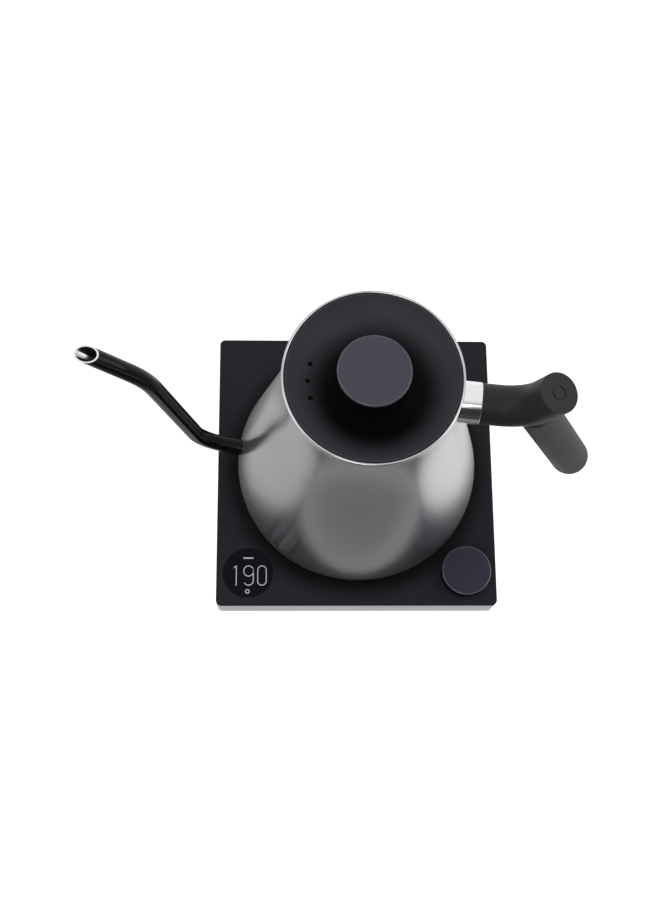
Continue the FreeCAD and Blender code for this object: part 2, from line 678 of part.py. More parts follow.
def make_control_board():
    board = block(f"2 * ({INSIDE} - board_margin)", "board_deep", "board_thick",
                  y=f"-{CONTROL_Y}", z=BOARD_UNDER)
    holes = [cylinder("screw_radius + thread_gap", "board_thick", x=x, y=y, z=BOARD_UNDER)
             for x, y in BOARD_POSTS]
    keep(cut(board, *holes), "control_board")
    keep(cylinder("buzzer_radius", "buzzer_tall", y=f"-{CONTROL_Y}", z=BOARD_TOP), "buzzer")


def make_power_board():
    board = block("power_width", "power_deep", "board_thick", x="power_x", y="power_y",
                  z=POWER_UNDER)
    holes = [cylinder("screw_radius + thread_gap", "board_thick", x=x, y=y, z=POWER_UNDER)
             for x, y in POWER_POSTS]
    keep(cut(board, *holes), "power_board")
    keep(block("transformer_wide", "transformer_deep", "transformer_tall",
               x="power_x - power_width / 4", y="power_y", z=POWER_TOP), "transformer")
    keep(block("relay_wide", "relay_deep", "relay_tall", x="power_x + power_width / 8",
               y="power_y", z=POWER_TOP), "relay")
    keep(cylinder("capacitor_radius", "capacitor_tall", x="power_x + power_width / 3",
                  y="power_y", z=POWER_TOP), "capacitor")
    up = [screw("screw_radius", "screw_head_tall + board_thick + board_screw_long - tip_room",
                "screw_head", "screw_head_tall", x, y, f"{BOARD_UNDER} - screw_head_tall")
          for x, y in BOARD_POSTS]
    down = [screw("screw_radius", "screw_head_tall + board_thick + standoff_tall - tip_room",
                  "screw_head", "screw_head_tall", x, y, f"{POWER_TOP} + screw_head_tall", up=False)
            for x, y in POWER_POSTS]
    keep(group(up + down), "board_screws")


def make_dial():
    at_dial = dict(x=CONTROL_X, y=f"-{CONTROL_Y}")
    rotor_low = f"{BOARD_TOP} + rotor_lift"
    housing = fuse(block("encoder_side", "encoder_side", "board_drop", z=BOARD_TOP, **at_dial),
                   cylinder("bush_radius", "top_thick + nut_thick + bush_past", z=PLATE_UNDER,
                            **at_dial))
    cavity = cylinder("rotor_radius + socket_gap", "rotor_thick + 2 * rotor_gap",
                      z=f"{rotor_low} - rotor_gap", **at_dial)
    bore = cylinder("shaft_radius + running_gap",
                    "board_drop + top_thick + nut_thick + bush_past - shaft_floor",
                    z=f"{BOARD_TOP} + shaft_floor", **at_dial)
    keep(cut(housing, cavity, bore), "encoder_housing")
    keep(cut(cylinder("rotor_radius", "rotor_thick", z=rotor_low, **at_dial),
             cylinder("shaft_radius + running_gap", "rotor_thick", z=rotor_low, **at_dial)),
         "encoder_rotor")
    keep(cut(cylinder("nut_radius", "nut_thick", z="base_height", **at_dial),
             cylinder("bush_radius + thread_gap", "nut_thick", z="base_height", **at_dial)),
         "encoder_nut")
    shaft_low = f"{BOARD_TOP} + shaft_floor + press_travel + rotor_gap"
    shaft_top = "base_height + dial_top - dial_face"
    keep(cylinder("shaft_radius", f"{shaft_top} - ({shaft_low})", z=shaft_low, **at_dial),
         "encoder_shaft")
    knob = padded_round("dial_knob_body", "base_height + dial_gap", "dial_top - dial_gap",
                        "dial_radius")
    dress(knob, "Chamfer", "dial_chamfer", level_at("base_height + dial_top"))
    recess = cylinder("nut_radius + dial_clear",
                      "nut_thick + bush_past + press_travel + rotor_gap - dial_gap + dial_clear",
                      z="base_height + dial_gap")
    bore = cylinder("shaft_radius + thread_gap", "dial_top - dial_face - dial_gap",
                    z="base_height + dial_gap")
    keep(place(cut(knob, recess, bore), **at_dial), "dial_knob")


def make_rear():
    at_gland = dict(x="gland_x", z="gland_z", lean="-90", axis=(1, 0, 0))
    gland = fuse(cylinder("gland_radius", "gland_long", y=f"{INSIDE} - gland_long + band_wall",
                          **at_gland),
                 cylinder("gland_flange", "gland_lip", y=f"{INSIDE} - gland_lip", **at_gland))
    bore = cylinder("gland_bore", "gland_long", y=f"{INSIDE} - gland_long + band_wall", **at_gland)
    keep(cut(gland, bore), "cord_gland")
    low = "gland_z - slider_tall / 2"
    housing = block("switch_wide", "switch_deep", "switch_tall", x="switch_x",
                    y=f"{INSIDE} - switch_deep / 2", z="gland_z - switch_tall / 2")
    slot = block("slider_wide + switch_travel + 2 * socket_gap", "switch_deep",
                 "slider_tall + 2 * socket_gap", x="switch_x", y=f"{INSIDE} - switch_deep / 4",
                 z=f"{low} - socket_gap")
    keep(cut(housing, slot), "hold_switch_housing")
    keep(block("slider_wide", "slider_out + band_wall + slider_in", "slider_tall",
               x="switch_x - switch_travel / 2",
               y=f"{INSIDE} + (slider_out + band_wall - slider_in) / 2", z=low),
         "hold_switch_slider")


# ---------------------------------------------------------------- kettle: vessel and underside

def make_vessel():
    outside = vessel_side("0")
    inside = backward(vessel_side("wall_thick"))
    points = [(BOTTOM_OPENING, VESSEL_BOTTOM)] + outside + [
        ("neck_radius", "rim_height"),
        ("neck_radius - bead_wide", "rim_height"),
        ("neck_radius - bead_wide", "rim_height - bead_tall"),
        (NECK_INSIDE, "rim_height - bead_tall"),
    ] + inside + [(BOTTOM_OPENING, f"{VESSEL_BOTTOM} + wall_thick")]
    shell = turned("vessel_body", points)
    hole = cylinder("spout_radius + seat_gap", "4 * spout_radius",
                    x="spout_radius - spout_start", z=f"{SPOUT_LOW_Z} - spout_radius * {RISE}",
                    lean="spout_rise - 90")
    keep(turned_with_kettle(cut(shell, hole)), "vessel")


def make_floor():
    inside = "(corner_radius - wall_thick)"
    floor_radius = f"{CORNER_R} + sqrt({inside}^2 - floor_lift^2) - seat_gap"
    plate = cylinder(floor_radius, "floor_thick", z=FLOOR_UNDER)
    hole = cylinder("probe_radius + thread_gap", "floor_thick", z=FLOOR_UNDER, **PROBE)
    keep(turned_with_kettle(cut(plate, hole)), "vessel_floor")
    spreader = cylinder(f"{CORNER_R} - spreader_margin", "spreader_thick", z=SPREADER_UNDER)
    middle = cylinder("spreader_inner", "spreader_thick", z=SPREADER_UNDER)
    hole = cylinder("probe_radius + socket_gap", "spreader_thick", z=SPREADER_UNDER, **PROBE)
    screws = [cylinder("screw_radius + thread_gap", "plate_screw_long + tip_room", x=x, y=y,
                       z=SPREADER_UNDER) for x, y in UNDER_SCREWS]
    keep(turned_with_kettle(cut(spreader, middle, hole, *screws)), "heat_spreader")


def make_underside():
    ring = doc.addObject("Part::Torus", "torus")
    bind(ring, Radius1="element_circle", Radius2="element_radius", Angle3="element_sweep")
    place(ring, z=f"{SPREADER_UNDER} - element_radius", lean="element_start", axis=(0, 0, 1))
    terminals = [cylinder("terminal_radius", "terminal_tall",
                          z=f"{SPREADER_UNDER} - terminal_tall - socket_gap",
                          **on_circle("element_circle", end))
                 for end in ("element_start + terminal_turn",
                             "element_start + element_sweep - terminal_turn")]
    keep(turned_with_kettle(fuse(ring, *terminals)), "heating_element")

    socket_low = f"({UNDER_LOW})"
    roof = f"({HUB_TOP} + socket_roof)"
    body = cylinder("socket_radius", f"{FLOOR_UNDER} - socket_gap - {socket_low}", z=socket_low)
    mouth = cylinder("hub_radius + hub_gap", f"{roof} - {socket_low}", z=socket_low)
    keep(turned_with_kettle(cut(body, mouth)), "kettle_socket")

    cover = [("socket_radius + socket_gap", UNDER_LOW), (REST_RING, UNDER_LOW),
             (REST_RING, "base_height + rest_gap"),
             (f"{REST_RING} + rest_ring_wide", "base_height + rest_gap"),
             (f"{REST_RING} + rest_ring_wide", UNDER_LOW),
             (f"{BOTTOM_OPENING} + cover_overlap", UNDER_LOW),
             (f"{BOTTOM_OPENING} + cover_overlap", UNDER_TOP),
             ("socket_radius + socket_gap", UNDER_TOP)]
    disc = turned("underside_cover_body", cover)
    heads = [cylinder("screw_head + seat_gap", "screw_head_tall", x=x, y=y, z=UNDER_LOW)
             for x, y in UNDER_SCREWS]
    holes = [cylinder("screw_radius + thread_gap", "under_thick", x=x, y=y, z=UNDER_LOW)
             for x, y in UNDER_SCREWS]
    keep(turned_with_kettle(cut(disc, *heads, *holes)), "underside_cover")

    reach = f"{SPREADER_UNDER} + plate_screw_long - ({UNDER_LOW}) - screw_tip_gap"
    screws = [screw("screw_radius", reach, "screw_head", "screw_head_tall - screw_tip_gap", x, y,
                    f"{UNDER_LOW} + screw_tip_gap") for x, y in UNDER_SCREWS]
    keep(turned_with_kettle(group(screws)), "underside_screws")

    probe_long = f"{FLOOR_TOP} + probe_tall - ({SPREADER_UNDER}) + probe_radius"
    probe = cylinder("probe_radius", probe_long, z=f"{SPREADER_UNDER} - probe_radius", **PROBE)
    tip = doc.addObject("Part::Sphere", "sphere")
    place(bind(tip, Radius="probe_radius"), z=f"{FLOOR_TOP} + probe_tall", **PROBE)
    keep(turned_with_kettle(fuse(probe, tip)), "temperature_probe")
    cutout = cylinder("cutout_radius", "cutout_tall", z=f"{SPREADER_UNDER} - cutout_tall",
                      **on_circle("probe_circle", "cutout_turn"))
    keep(turned_with_kettle(group([cutout])), "thermal_cutout")


# ---------------------------------------------------------------- kettle: spout and handle

def bent_path(spots, bends):
    """A path sketch in the XZ plane through spots, each inner corner rounded to its radius."""
    points = [spots[0]]
    for i, bend in enumerate(bends, 1):
        before, corner, after = spots[i - 1], spots[i], spots[i + 1]
        into, out = (f"atan2(({b[1]}) - ({a[1]}); ({b[0]}) - ({a[0]}))"
                     for a, b in ((before, corner), (corner, after)))
        turn = f"({out} - {into})"
        hand = "" if number(turn) > 0 else "-"
        reach = f"{bend} * tan(abs({turn}) / 2)"
        points.append((f"{corner[0]} - {reach} * cos({into})", f"{corner[1]} - {reach} * sin({into})",
                       f"{hand}({bend})"))
        points.append((f"{corner[0]} + {reach} * cos({out})", f"{corner[1]} + {reach} * sin({out})"))
    points.append(spots[-1])
    body = new_body("path_body")
    sketch = draw(new_sketch(body, "XZ_Plane"), points, closed=False)
    doc.recompute()
    return sketch


def swept(path, radius, x, z, lean):
    """A round bar along a path. x, z and lean place its first section."""
    section = doc.addObject("Part::Circle", "section")
    place(bind(section, Radius=radius), x=x, z=z, lean=lean)
    bar = doc.addObject("Part::Sweep", "bar")
    bar.Sections = [section]
    bar.Spine = (path, [f"Edge{i + 1}" for i in range(len(path.Shape.Edges))])
    bar.Solid = True
    return bar


def make_spout():
    over = "3 * spout_radius"
    path = bent_path([
        ("-spout_start", SPOUT_LOW_Z),
        ("-spout_foot_x", "spout_foot_z"),
        ("-spout_knee_x", "spout_knee_z"),
        (f"-spout_knee_x - (mouth_height + {over} - spout_knee_z) * tan(spout_lean * 1 deg)",
         f"mouth_height + {over}"),
    ], ["spout_foot_bend", "spout_knee_bend"])
    start = dict(x="-spout_start", z=SPOUT_LOW_Z, lean="spout_rise - 90")
    outer = swept(path, "spout_radius", **start)
    inner = swept(path, "spout_radius - spout_wall", **start)
    above = block("2 * spout_knee_x", "4 * spout_radius", "2 * spout_knee_z", x="-spout_knee_x",
                  z="mouth_height")
    keep(turned_with_kettle(cut(outer, inner, above)), "spout")


def on_stub(*parts):
    """Move upright pieces so that Z runs from the arm's corner along the thumb rest."""
    joined = fuse(*parts) if len(parts) > 1 else group(parts)
    return place(joined, x=ELBOW_X, z="arm_height", lean="stub_lean")


def along_arm(radius, start, end):
    """A bar along the arm's axis."""
    return cylinder(radius, f"{end} - ({start})", x=start, z="arm_height", lean="90")


def make_handle():
    envelope = [("0", f"{VESSEL_BOTTOM} - weld_gap")] + vessel_side("-weld_gap")
    envelope += [("neck_radius + weld_gap", "rim_height"), ("0", "rim_height")]
    outside = turned("vessel_outside", envelope)

    head_top = "stub_long - bolt_head_deep"
    head_low = f"{head_top} - bolt_head_tall"
    bolt_hole = on_stub(cylinder("bolt_radius + thread_gap", f"{head_low} + bolt_past + seat_gap",
                                 z="-bolt_past - seat_gap"))
    boss = along_arm("boss_radius", "neck_radius / 2", BOSS_END)
    keep(turned_with_kettle(cut(boss, outside, bolt_hole)), "handle_boss")
    collar = along_arm("collar_radius", "neck_radius / 2", COLLAR_END)
    bore = along_arm("boss_radius + seat_gap", "neck_radius / 2", COLLAR_END)
    keep(turned_with_kettle(cut(collar, outside, bore)), "handle_collar")

    path = bent_path([
        (COLLAR_END, "arm_height"),
        (ELBOW_X, "arm_height"),
        (f"{ELBOW_X} + (stub_long - cap_thick) * sin(stub_lean * 1 deg)",
         "arm_height + (stub_long - cap_thick) * cos(stub_lean * 1 deg)"),
    ], ["elbow_bend"])
    arm = swept(path, "arm_radius", x=COLLAR_END, z="arm_height", lean="90")
    run = "(grip_end_out - grip_top_out)"
    grip_end = dict(x=f"{ELBOW_X} + grip_end_out", z="arm_height - grip_drop")
    along_grip = dict(lean=f"-atan2({run}; grip_drop)", **grip_end)
    grip = cylinder("arm_radius", f"sqrt({run}^2 + grip_drop^2)", **along_grip)
    ends = []
    for spot in (grip_end, dict(x=f"{ELBOW_X} + grip_top_out", z="arm_height")):
        ball = doc.addObject("Part::Sphere", "sphere")
        ends.append(place(bind(ball, Radius="arm_radius"), **spot))
    shape = blended(fuse(arm, grip, *ends), "blend_radius")
    boss_bore = along_arm("boss_radius + seat_gap", COLLAR_END, f"{BOSS_END} + seat_gap")
    head_bore = on_stub(cylinder("bolt_head + seat_gap", f"stub_long - ({head_low})", z=head_low))
    cavity = cylinder("weight_radius + seat_gap", "weight_long + seat_gap", **along_grip)
    keep(turned_with_kettle(cut(shape, boss_bore, bolt_hole, head_bore, cavity)), "handle_grip")
    weight = cylinder("weight_radius", "weight_long", **along_grip)
    keep(turned_with_kettle(group([weight])), "counterweight")

    bolt = on_stub(cylinder("bolt_radius", f"{head_low} + bolt_past", z="-bolt_past"),
                   cylinder("bolt_head", "bolt_head_tall", z=head_low))
    keep(turned_with_kettle(group([bolt])), "handle_bolt")
    spigot = "bolt_head_deep - cap_thick - spigot_gap"
    cap = on_stub(cylinder("arm_radius", "cap_thick", z="stub_long - cap_thick"),
                  cylinder("bolt_head", spigot, z=f"stub_long - cap_thick - ({spigot})"))
    mark = on_stub(tube("mark_radius", "mark_radius - mark_wide", "mark_deep",
                        z="stub_long - mark_deep"))
    keep(turned_with_kettle(cut(cap, mark)), "grip_cap")


def facing(edge, face):
    """The face's outward direction at the middle of one of its edges."""
    middle = edge.valueAt((edge.FirstParameter + edge.LastParameter) / 2)
    return face.normalAt(*face.Surface.parameter(middle))


SEAM_ANGLE = 15  # least angle in degrees between the faces at a seam


def blended(solid, radius):
    """Round the seams where round bars meet at an angle."""
    doc.recompute()
    seams = []
    for i, edge in enumerate(solid.Shape.Edges, 1):
        faces = solid.Shape.ancestorsOfType(edge, Part.Face)
        if len(faces) < 2 or any(isinstance(face.Surface, Part.Plane) for face in faces):
            continue
        if math.degrees(facing(edge, faces[0]).getAngle(facing(edge, faces[1]))) > SEAM_ANGLE:
            seams.append(i)
    made = doc.addObject("Part::Fillet", "blend")
    made.Base = solid
    made.Edges = [(i, number(radius), number(radius)) for i in seams]
    doc.recompute()
    return made


# ---------------------------------------------------------------- lid

def make_lid():
    dish_run = f"({LID_RADIUS} - lid_edge - {DISH_RADIUS})"
    dish_bend = f"(({dish_run}^2 + dish_deep^2) / (2 * dish_deep))"
    under_bend = f"({dish_bend} + lid_thick)"
    under_rise = f"({under_bend} - sqrt({under_bend}^2 - ({SKIRT_INSIDE} - {DISH_RADIUS})^2))"
    seal_top = "(rim_height - seal_drop)"
    seal_low = f"({seal_top} - seal_tall)"
    groove = f"{LID_RADIUS} - seal_deep"
    shell = turned("lid_top_body", [
        ("0", LID_FLAT), (DISH_RADIUS, LID_FLAT, dish_bend), (f"{LID_RADIUS} - lid_edge", "rim_height"),
        (LID_RADIUS, "rim_height"), (LID_RADIUS, seal_top), (groove, seal_top),
        (groove, seal_low), (LID_RADIUS, seal_low), (LID_RADIUS, SKIRT_LOW),
        (SKIRT_INSIDE, SKIRT_LOW), (SKIRT_INSIDE, f"{LID_FLAT_UNDER} + {under_rise}", f"-{under_bend}"),
        (DISH_RADIUS, LID_FLAT_UNDER), ("0", LID_FLAT_UNDER),
    ])
    vents = [cylinder("vent_radius", "dish_deep + lid_thick", z=LID_FLAT_UNDER,
                      **on_circle(VENT_CIRCLE, f"180 + {i} * vent_step")) for i in (-1, 0, 1)]
    screw_hole = cylinder("lid_screw + thread_gap", "lid_thick", z=LID_FLAT_UNDER)
    keep(cut(shell, *vents, screw_hole), "lid_top")

    seal = turned("lid_seal_body", [
        (f"{groove} + seal_gap", f"{seal_low} + seal_gap / 2"),
        ("neck_radius - bead_wide - seal_gap", f"{seal_low} + seal_gap / 2"),
        ("neck_radius - bead_wide - seal_gap", f"{seal_top} - seal_gap / 2"),
        (f"{groove} + seal_gap", f"{seal_top} - seal_gap / 2"),
    ])
    keep(seal, "lid_seal")

    knob = padded_round("lid_knob_body", LID_FLAT, f"rim_height + knob_top - {LID_FLAT}",
                        "knob_radius")
    dress(knob, "Chamfer", "knob_chamfer", level_at("rim_height + knob_top"))
    keep(cut(knob, cylinder("lid_screw + thread_gap", "dish_deep", z=LID_FLAT)), "lid_knob")
    keep(screw("lid_screw", "lid_screw_head_tall + lid_thick + dish_deep - tip_room", "lid_screw_head",
               "lid_screw_head_tall", "0", "0", f"{LID_FLAT_UNDER} - lid_screw_head_tall"),
         "lid_knob_screw")

    low = f"{SKIRT_LOW} + liner_thick"
    rim = f"{SKIRT_INSIDE} - seat_gap"
    pan = turned("lid_liner_body", [
        ("0", low), (rim, low), (rim, f"{low} + liner_tall"),
        (f"{rim} - liner_thick", f"{low} + liner_tall"), (f"{rim} - liner_thick", f"{low} + liner_thick"),
        ("0", f"{low} + liner_thick"),
    ])
    holes = [cylinder("liner_hole", "liner_thick", x=x, y=y, z=low)
             for x, y in round_places(VENT_CIRCLE, 3)]
    keep(cut(pan, *holes), "lid_liner")


make_top_plate()
make_side_band()
make_bottom_cover()
make_feet_and_case_screws()
make_connector()
make_display()
make_control_board()
make_power_board()
make_dial()
make_rear()
make_vessel()
make_floor()
make_underside()
make_spout()
make_handle()
make_lid()
doc.recompute()

for node in NODES:
    shape = node.Shape
    if node.State not in (["Up-to-date"], []) or not shape.isValid() or not shape.Solids:
        raise RuntimeError(f"{node.Label}: {node.State}, valid {shape.isValid()}")

os.makedirs("parts", exist_ok=True)
for node in NODES:
    node.Shape.exportStep(f"parts/{node.Label}.step")
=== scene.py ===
# %% [markdown]
# # A gooseneck kettle on its square base
# The imported CAD model is loaded as a fixed frame: every node is already in its place, in metres,
# with +Z up and the display and the dial on the -Y side. This lesson dresses those nodes with
# procedural finishes, models the pieces that need smoother or finer shapes than CAD gives, and
# sets a small studio round them.
# Sizes are named in millimetres, as on the drawing, and MM turns them into Blender's metres.

# %% Load the frame
import bpy
import json
import math
from mathutils import Matrix, Vector


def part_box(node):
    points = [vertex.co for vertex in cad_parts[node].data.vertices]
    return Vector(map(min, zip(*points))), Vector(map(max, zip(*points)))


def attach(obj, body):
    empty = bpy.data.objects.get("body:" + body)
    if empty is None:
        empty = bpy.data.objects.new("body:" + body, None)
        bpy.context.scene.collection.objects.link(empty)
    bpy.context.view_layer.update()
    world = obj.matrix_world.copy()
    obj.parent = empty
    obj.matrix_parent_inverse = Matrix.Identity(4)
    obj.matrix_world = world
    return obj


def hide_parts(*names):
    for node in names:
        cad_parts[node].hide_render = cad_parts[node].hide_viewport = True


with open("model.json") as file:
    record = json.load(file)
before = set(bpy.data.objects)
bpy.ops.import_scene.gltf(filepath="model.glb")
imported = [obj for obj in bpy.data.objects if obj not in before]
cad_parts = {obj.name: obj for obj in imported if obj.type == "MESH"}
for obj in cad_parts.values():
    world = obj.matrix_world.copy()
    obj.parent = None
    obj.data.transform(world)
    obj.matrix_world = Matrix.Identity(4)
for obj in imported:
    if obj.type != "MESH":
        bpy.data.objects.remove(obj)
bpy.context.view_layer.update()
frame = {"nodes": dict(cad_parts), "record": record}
nodes = frame["nodes"]

# %% [markdown]
# ## Helpers for modelling
# Operators act on whatever is selected, so each new piece starts from an empty selection.
# A ring of edges that is extruded and resized step by step gives any turned shape, as a potter
# pulls up a wall. The outline is a list of (radius, height) points, and where it reaches the
# axis, the ring there is so small that merging its doubles makes it one point. Doubles are
# merged before the normals are recalculated, so that a closed shape points outwards all over.

# %% Selection, turned shapes and handing over
MM = 0.001
TURN_STEPS = 160
POLE = 0.0004  # radius in mm of a ring on the axis
SAME_POINT = 2e-6  # metres
SMOOTH_UNDER = 35  # degrees between faces that are shaded as one


def deselect():
    if bpy.context.object and bpy.context.object.mode != "OBJECT":
        bpy.ops.object.mode_set(mode="OBJECT")
    bpy.ops.object.select_all(action="DESELECT")


def make_active(piece):
    deselect()
    piece.select_set(True)
    bpy.context.view_layer.objects.active = piece


def turned_piece(name, outline, steps=TURN_STEPS):
    """Pull a ring of edges along an outline of (radius, height) points round Z, in mm."""
    deselect()
    outline = [(max(radius, POLE) * MM, height * MM) for radius, height in outline]
    radius, height = outline[0]
    bpy.ops.mesh.primitive_circle_add(vertices=steps, radius=radius, location=(0, 0, height))
    piece = bpy.context.object
    piece.name = name
    bpy.ops.object.transform_apply(location=True)
    bpy.ops.object.mode_set(mode="EDIT")
    bpy.ops.mesh.select_all(action="SELECT")
    for new_radius, new_height in outline[1:]:
        bpy.ops.mesh.extrude_edges_move(
            TRANSFORM_OT_translate={"value": (0, 0, new_height - height)})
        grow = new_radius / radius
        bpy.ops.transform.resize(value=(grow, grow, 1), center_override=(0, 0, new_height))
        radius, height = new_radius, new_height
    bpy.ops.mesh.select_all(action="SELECT")
    bpy.ops.mesh.remove_doubles(threshold=SAME_POINT)
    bpy.ops.mesh.normals_make_consistent(inside=False)
    bpy.ops.object.mode_set(mode="OBJECT")
    return piece


def smooth(piece, angle=SMOOTH_UNDER):
    make_active(piece)
    bpy.ops.object.shade_smooth_by_angle(angle=math.radians(angle))
    return piece


def paint(piece, *materials):
    """Give a piece one material slot for each of its finishes."""
    piece.data.materials.clear()
    for material in materials:
        piece.data.materials.append(material)


def hand_over(piece, body, slot, *replaced):
    """Give a piece its body and hide the CAD nodes that it stands for; the slot is not used."""
    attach(piece, body)
    if replaced:
        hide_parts(*replaced)
    faces = len(piece.data.polygons)
    print(f"{piece.name}: {faces} faces, rides on {body}, stands for {replaced or 'no node'}")


# %% [markdown]
# ## Shader groups
# Two effects are shared by all the finishes. `Fine grain` breaks a plain moulded or painted
# surface into two sizes of soft mottling and gives a small bump. `Brushed lines` has coarser noise,
# which the Stretch input squeezes across the strokes of the brush, so that it reads as lines.
# Both put out only a colour, a roughness and a normal; the Principled BSDF stays in the material.
# A third group, `Round mask`, tells how far a point is from an upright axis.

# %% Group builder
def new_group(name, inputs, outputs):
    group = bpy.data.node_groups.new(name, "ShaderNodeTree")
    for label, kind, default in inputs:
        made = group.interface.new_socket(label, in_out="INPUT", socket_type=kind)
        made.default_value = default
    for label, kind in outputs:
        group.interface.new_socket(label, in_out="OUTPUT", socket_type=kind)
    start = group.nodes.new("NodeGroupInput")
    end = group.nodes.new("NodeGroupOutput")
    return group, start, end


def put(tree, kind, **settings):
    made = tree.nodes.new(kind)
    for key, value in settings.items():
        setattr(made, key, value)
    return made


def math_node(tree, operation, a, b):
    made = put(tree, "ShaderNodeMath", operation=operation)
    for socket, value in zip(made.inputs, (a, b)):
        if isinstance(value, (int, float)):
            socket.default_value = value
        else:
            tree.links.new(value, socket)
    return made.outputs[0]


SURFACE_INPUTS = [
    ("Colour", "NodeSocketColor", (0.5, 0.5, 0.5, 1)),
    ("Second Colour", "NodeSocketColor", (0.4, 0.4, 0.4, 1)),
    ("Roughness", "NodeSocketFloat", 0.5),
    ("Roughness Spread", "NodeSocketFloat", 0.1),
    ("Bump", "NodeSocketFloat", 0.1),
    ("Stretch", "NodeSocketVector", (1, 1, 1)),
]
SURFACE_OUTPUTS = [("Colour", "NodeSocketColor"), ("Roughness", "NodeSocketFloat"),
                   ("Normal", "NodeSocketVector")]


FINE_SHARE = 0.6  # of the colour and the roughness; the wide noise gives the rest
FINE_DETAIL, WIDE_DETAIL = 3, 4


def surface_group(name, fine_scale, wide_scale, bump_distance):
    """A mottled or brushed surface from one fine and one wide noise."""
    group, start, end = new_group(name, SURFACE_INPUTS, SURFACE_OUTPUTS)
    link = group.links.new
    place = put(group, "ShaderNodeTexCoord")
    stretch = put(group, "ShaderNodeVectorMath", operation="MULTIPLY")
    link(place.outputs["Object"], stretch.inputs[0])
    link(start.outputs["Stretch"], stretch.inputs[1])
    fine = put(group, "ShaderNodeTexNoise")
    fine.inputs["Scale"].default_value = fine_scale
    fine.inputs["Detail"].default_value = FINE_DETAIL
    link(stretch.outputs[0], fine.inputs["Vector"])
    wide = put(group, "ShaderNodeTexNoise")
    wide.inputs["Scale"].default_value = wide_scale
    wide.inputs["Detail"].default_value = WIDE_DETAIL
    link(place.outputs["Object"], wide.inputs["Vector"])
    fine_part = math_node(group, "MULTIPLY", fine.outputs["Fac"], FINE_SHARE)
    wide_part = math_node(group, "MULTIPLY", wide.outputs["Fac"], 1 - FINE_SHARE)
    both = math_node(group, "ADD", fine_part, wide_part)
    mix = put(group, "ShaderNodeMix", data_type="RGBA")
    link(both, mix.inputs["Factor"])
    link(start.outputs["Colour"], mix.inputs["A"])
    link(start.outputs["Second Colour"], mix.inputs["B"])
    link(mix.outputs["Result"], end.inputs["Colour"])
    centred = math_node(group, "SUBTRACT", both, 0.5)
    spread = math_node(group, "MULTIPLY", centred, start.outputs["Roughness Spread"])
    link(math_node(group, "ADD", start.outputs["Roughness"], spread), end.inputs["Roughness"])
    bump = put(group, "ShaderNodeBump")
    bump.inputs["Distance"].default_value = bump_distance
    link(start.outputs["Bump"], bump.inputs["Strength"])
    link(fine.outputs["Fac"], bump.inputs["Height"])
    link(bump.outputs["Normal"], end.inputs["Normal"])
    return group


FINE_GRAIN = surface_group("Fine grain", 2600, 45, 0.06 * MM)
BRUSHED_LINES = surface_group("Brushed lines", 60, 18, 0.04 * MM)


def round_mask_group():
    """A mask that is 0 inside one radius round an upright axis and 1 outside another."""
    inputs = [("Inner", "NodeSocketFloat", 0.02), ("Outer", "NodeSocketFloat", 0.04),
              ("Centre", "NodeSocketVector", (0, 0, 0))]
    group, start, end = new_group("Round mask", inputs, [("Mask", "NodeSocketFloat")])
    place = put(group, "ShaderNodeTexCoord")
    from_centre = put(group, "ShaderNodeVectorMath", operation="SUBTRACT")
    group.links.new(place.outputs["Object"], from_centre.inputs[0])
    group.links.new(start.outputs["Centre"], from_centre.inputs[1])
    level = put(group, "ShaderNodeVectorMath", operation="MULTIPLY")
    level.inputs[1].default_value = (1, 1, 0)
    group.links.new(from_centre.outputs[0], level.inputs[0])
    reach = put(group, "ShaderNodeVectorMath", operation="LENGTH")
    group.links.new(level.outputs[0], reach.inputs[0])
    ramp = put(group, "ShaderNodeMapRange", interpolation_type="SMOOTHSTEP")
    group.links.new(reach.outputs["Value"], ramp.inputs["Value"])
    group.links.new(start.outputs["Inner"], ramp.inputs["From Min"])
    group.links.new(start.outputs["Outer"], ramp.inputs["From Max"])
    group.links.new(ramp.outputs["Result"], end.inputs["Mask"])
    return group


ROUND_MASK = round_mask_group()
print("groups:", [group.name for group in bpy.data.node_groups])

# %% [markdown]
# ## One way to build a finish
# Every finish is a Principled BSDF fed by one of the two surface groups, from two near colours, a
# roughness and how far it wanders. What is the same all over the surface, such as Metallic,
# Anisotropic or Specular IOR Level, is set on the shader's own socket, by its name.

# %% Finish builder
ALL_ROUND = (1, 1, 1)


def finish(name, group, colour, second, roughness, spread=0.1, bump=0.1, stretch=ALL_ROUND,
           **constants):
    material = bpy.data.materials.new(name)
    material.use_nodes = True
    tree = material.node_tree
    shader = tree.nodes["Principled BSDF"]
    surface = put(tree, "ShaderNodeGroup", node_tree=group, name="surface")
    surface.inputs["Colour"].default_value = (*colour, 1)
    surface.inputs["Second Colour"].default_value = (*second, 1)
    surface.inputs["Roughness"].default_value = roughness
    surface.inputs["Roughness Spread"].default_value = spread
    surface.inputs["Bump"].default_value = bump
    surface.inputs["Stretch"].default_value = stretch
    tree.links.new(surface.outputs["Colour"], shader.inputs["Base Color"])
    tree.links.new(surface.outputs["Roughness"], shader.inputs["Roughness"])
    tree.links.new(surface.outputs["Normal"], shader.inputs["Normal"])
    for socket, value in constants.items():
        shader.inputs[socket.replace("_", " ")].default_value = value
    return material


# %% [markdown]
# ## Metals
# The vessel is satin stainless steel, brushed while it turned on a spindle, so its strokes lie
# level: the noise is packed close along Z and drawn long along X and Y. Anisotropy, turned a
# quarter, draws each reflection out across the strokes, into the upright bands that such steel
# shows. The collar is polished, and the base's band is duller aluminium. After the two colours,
# each line gives the roughness, how far it wanders, the bump and, for brushed metal, the stretch.

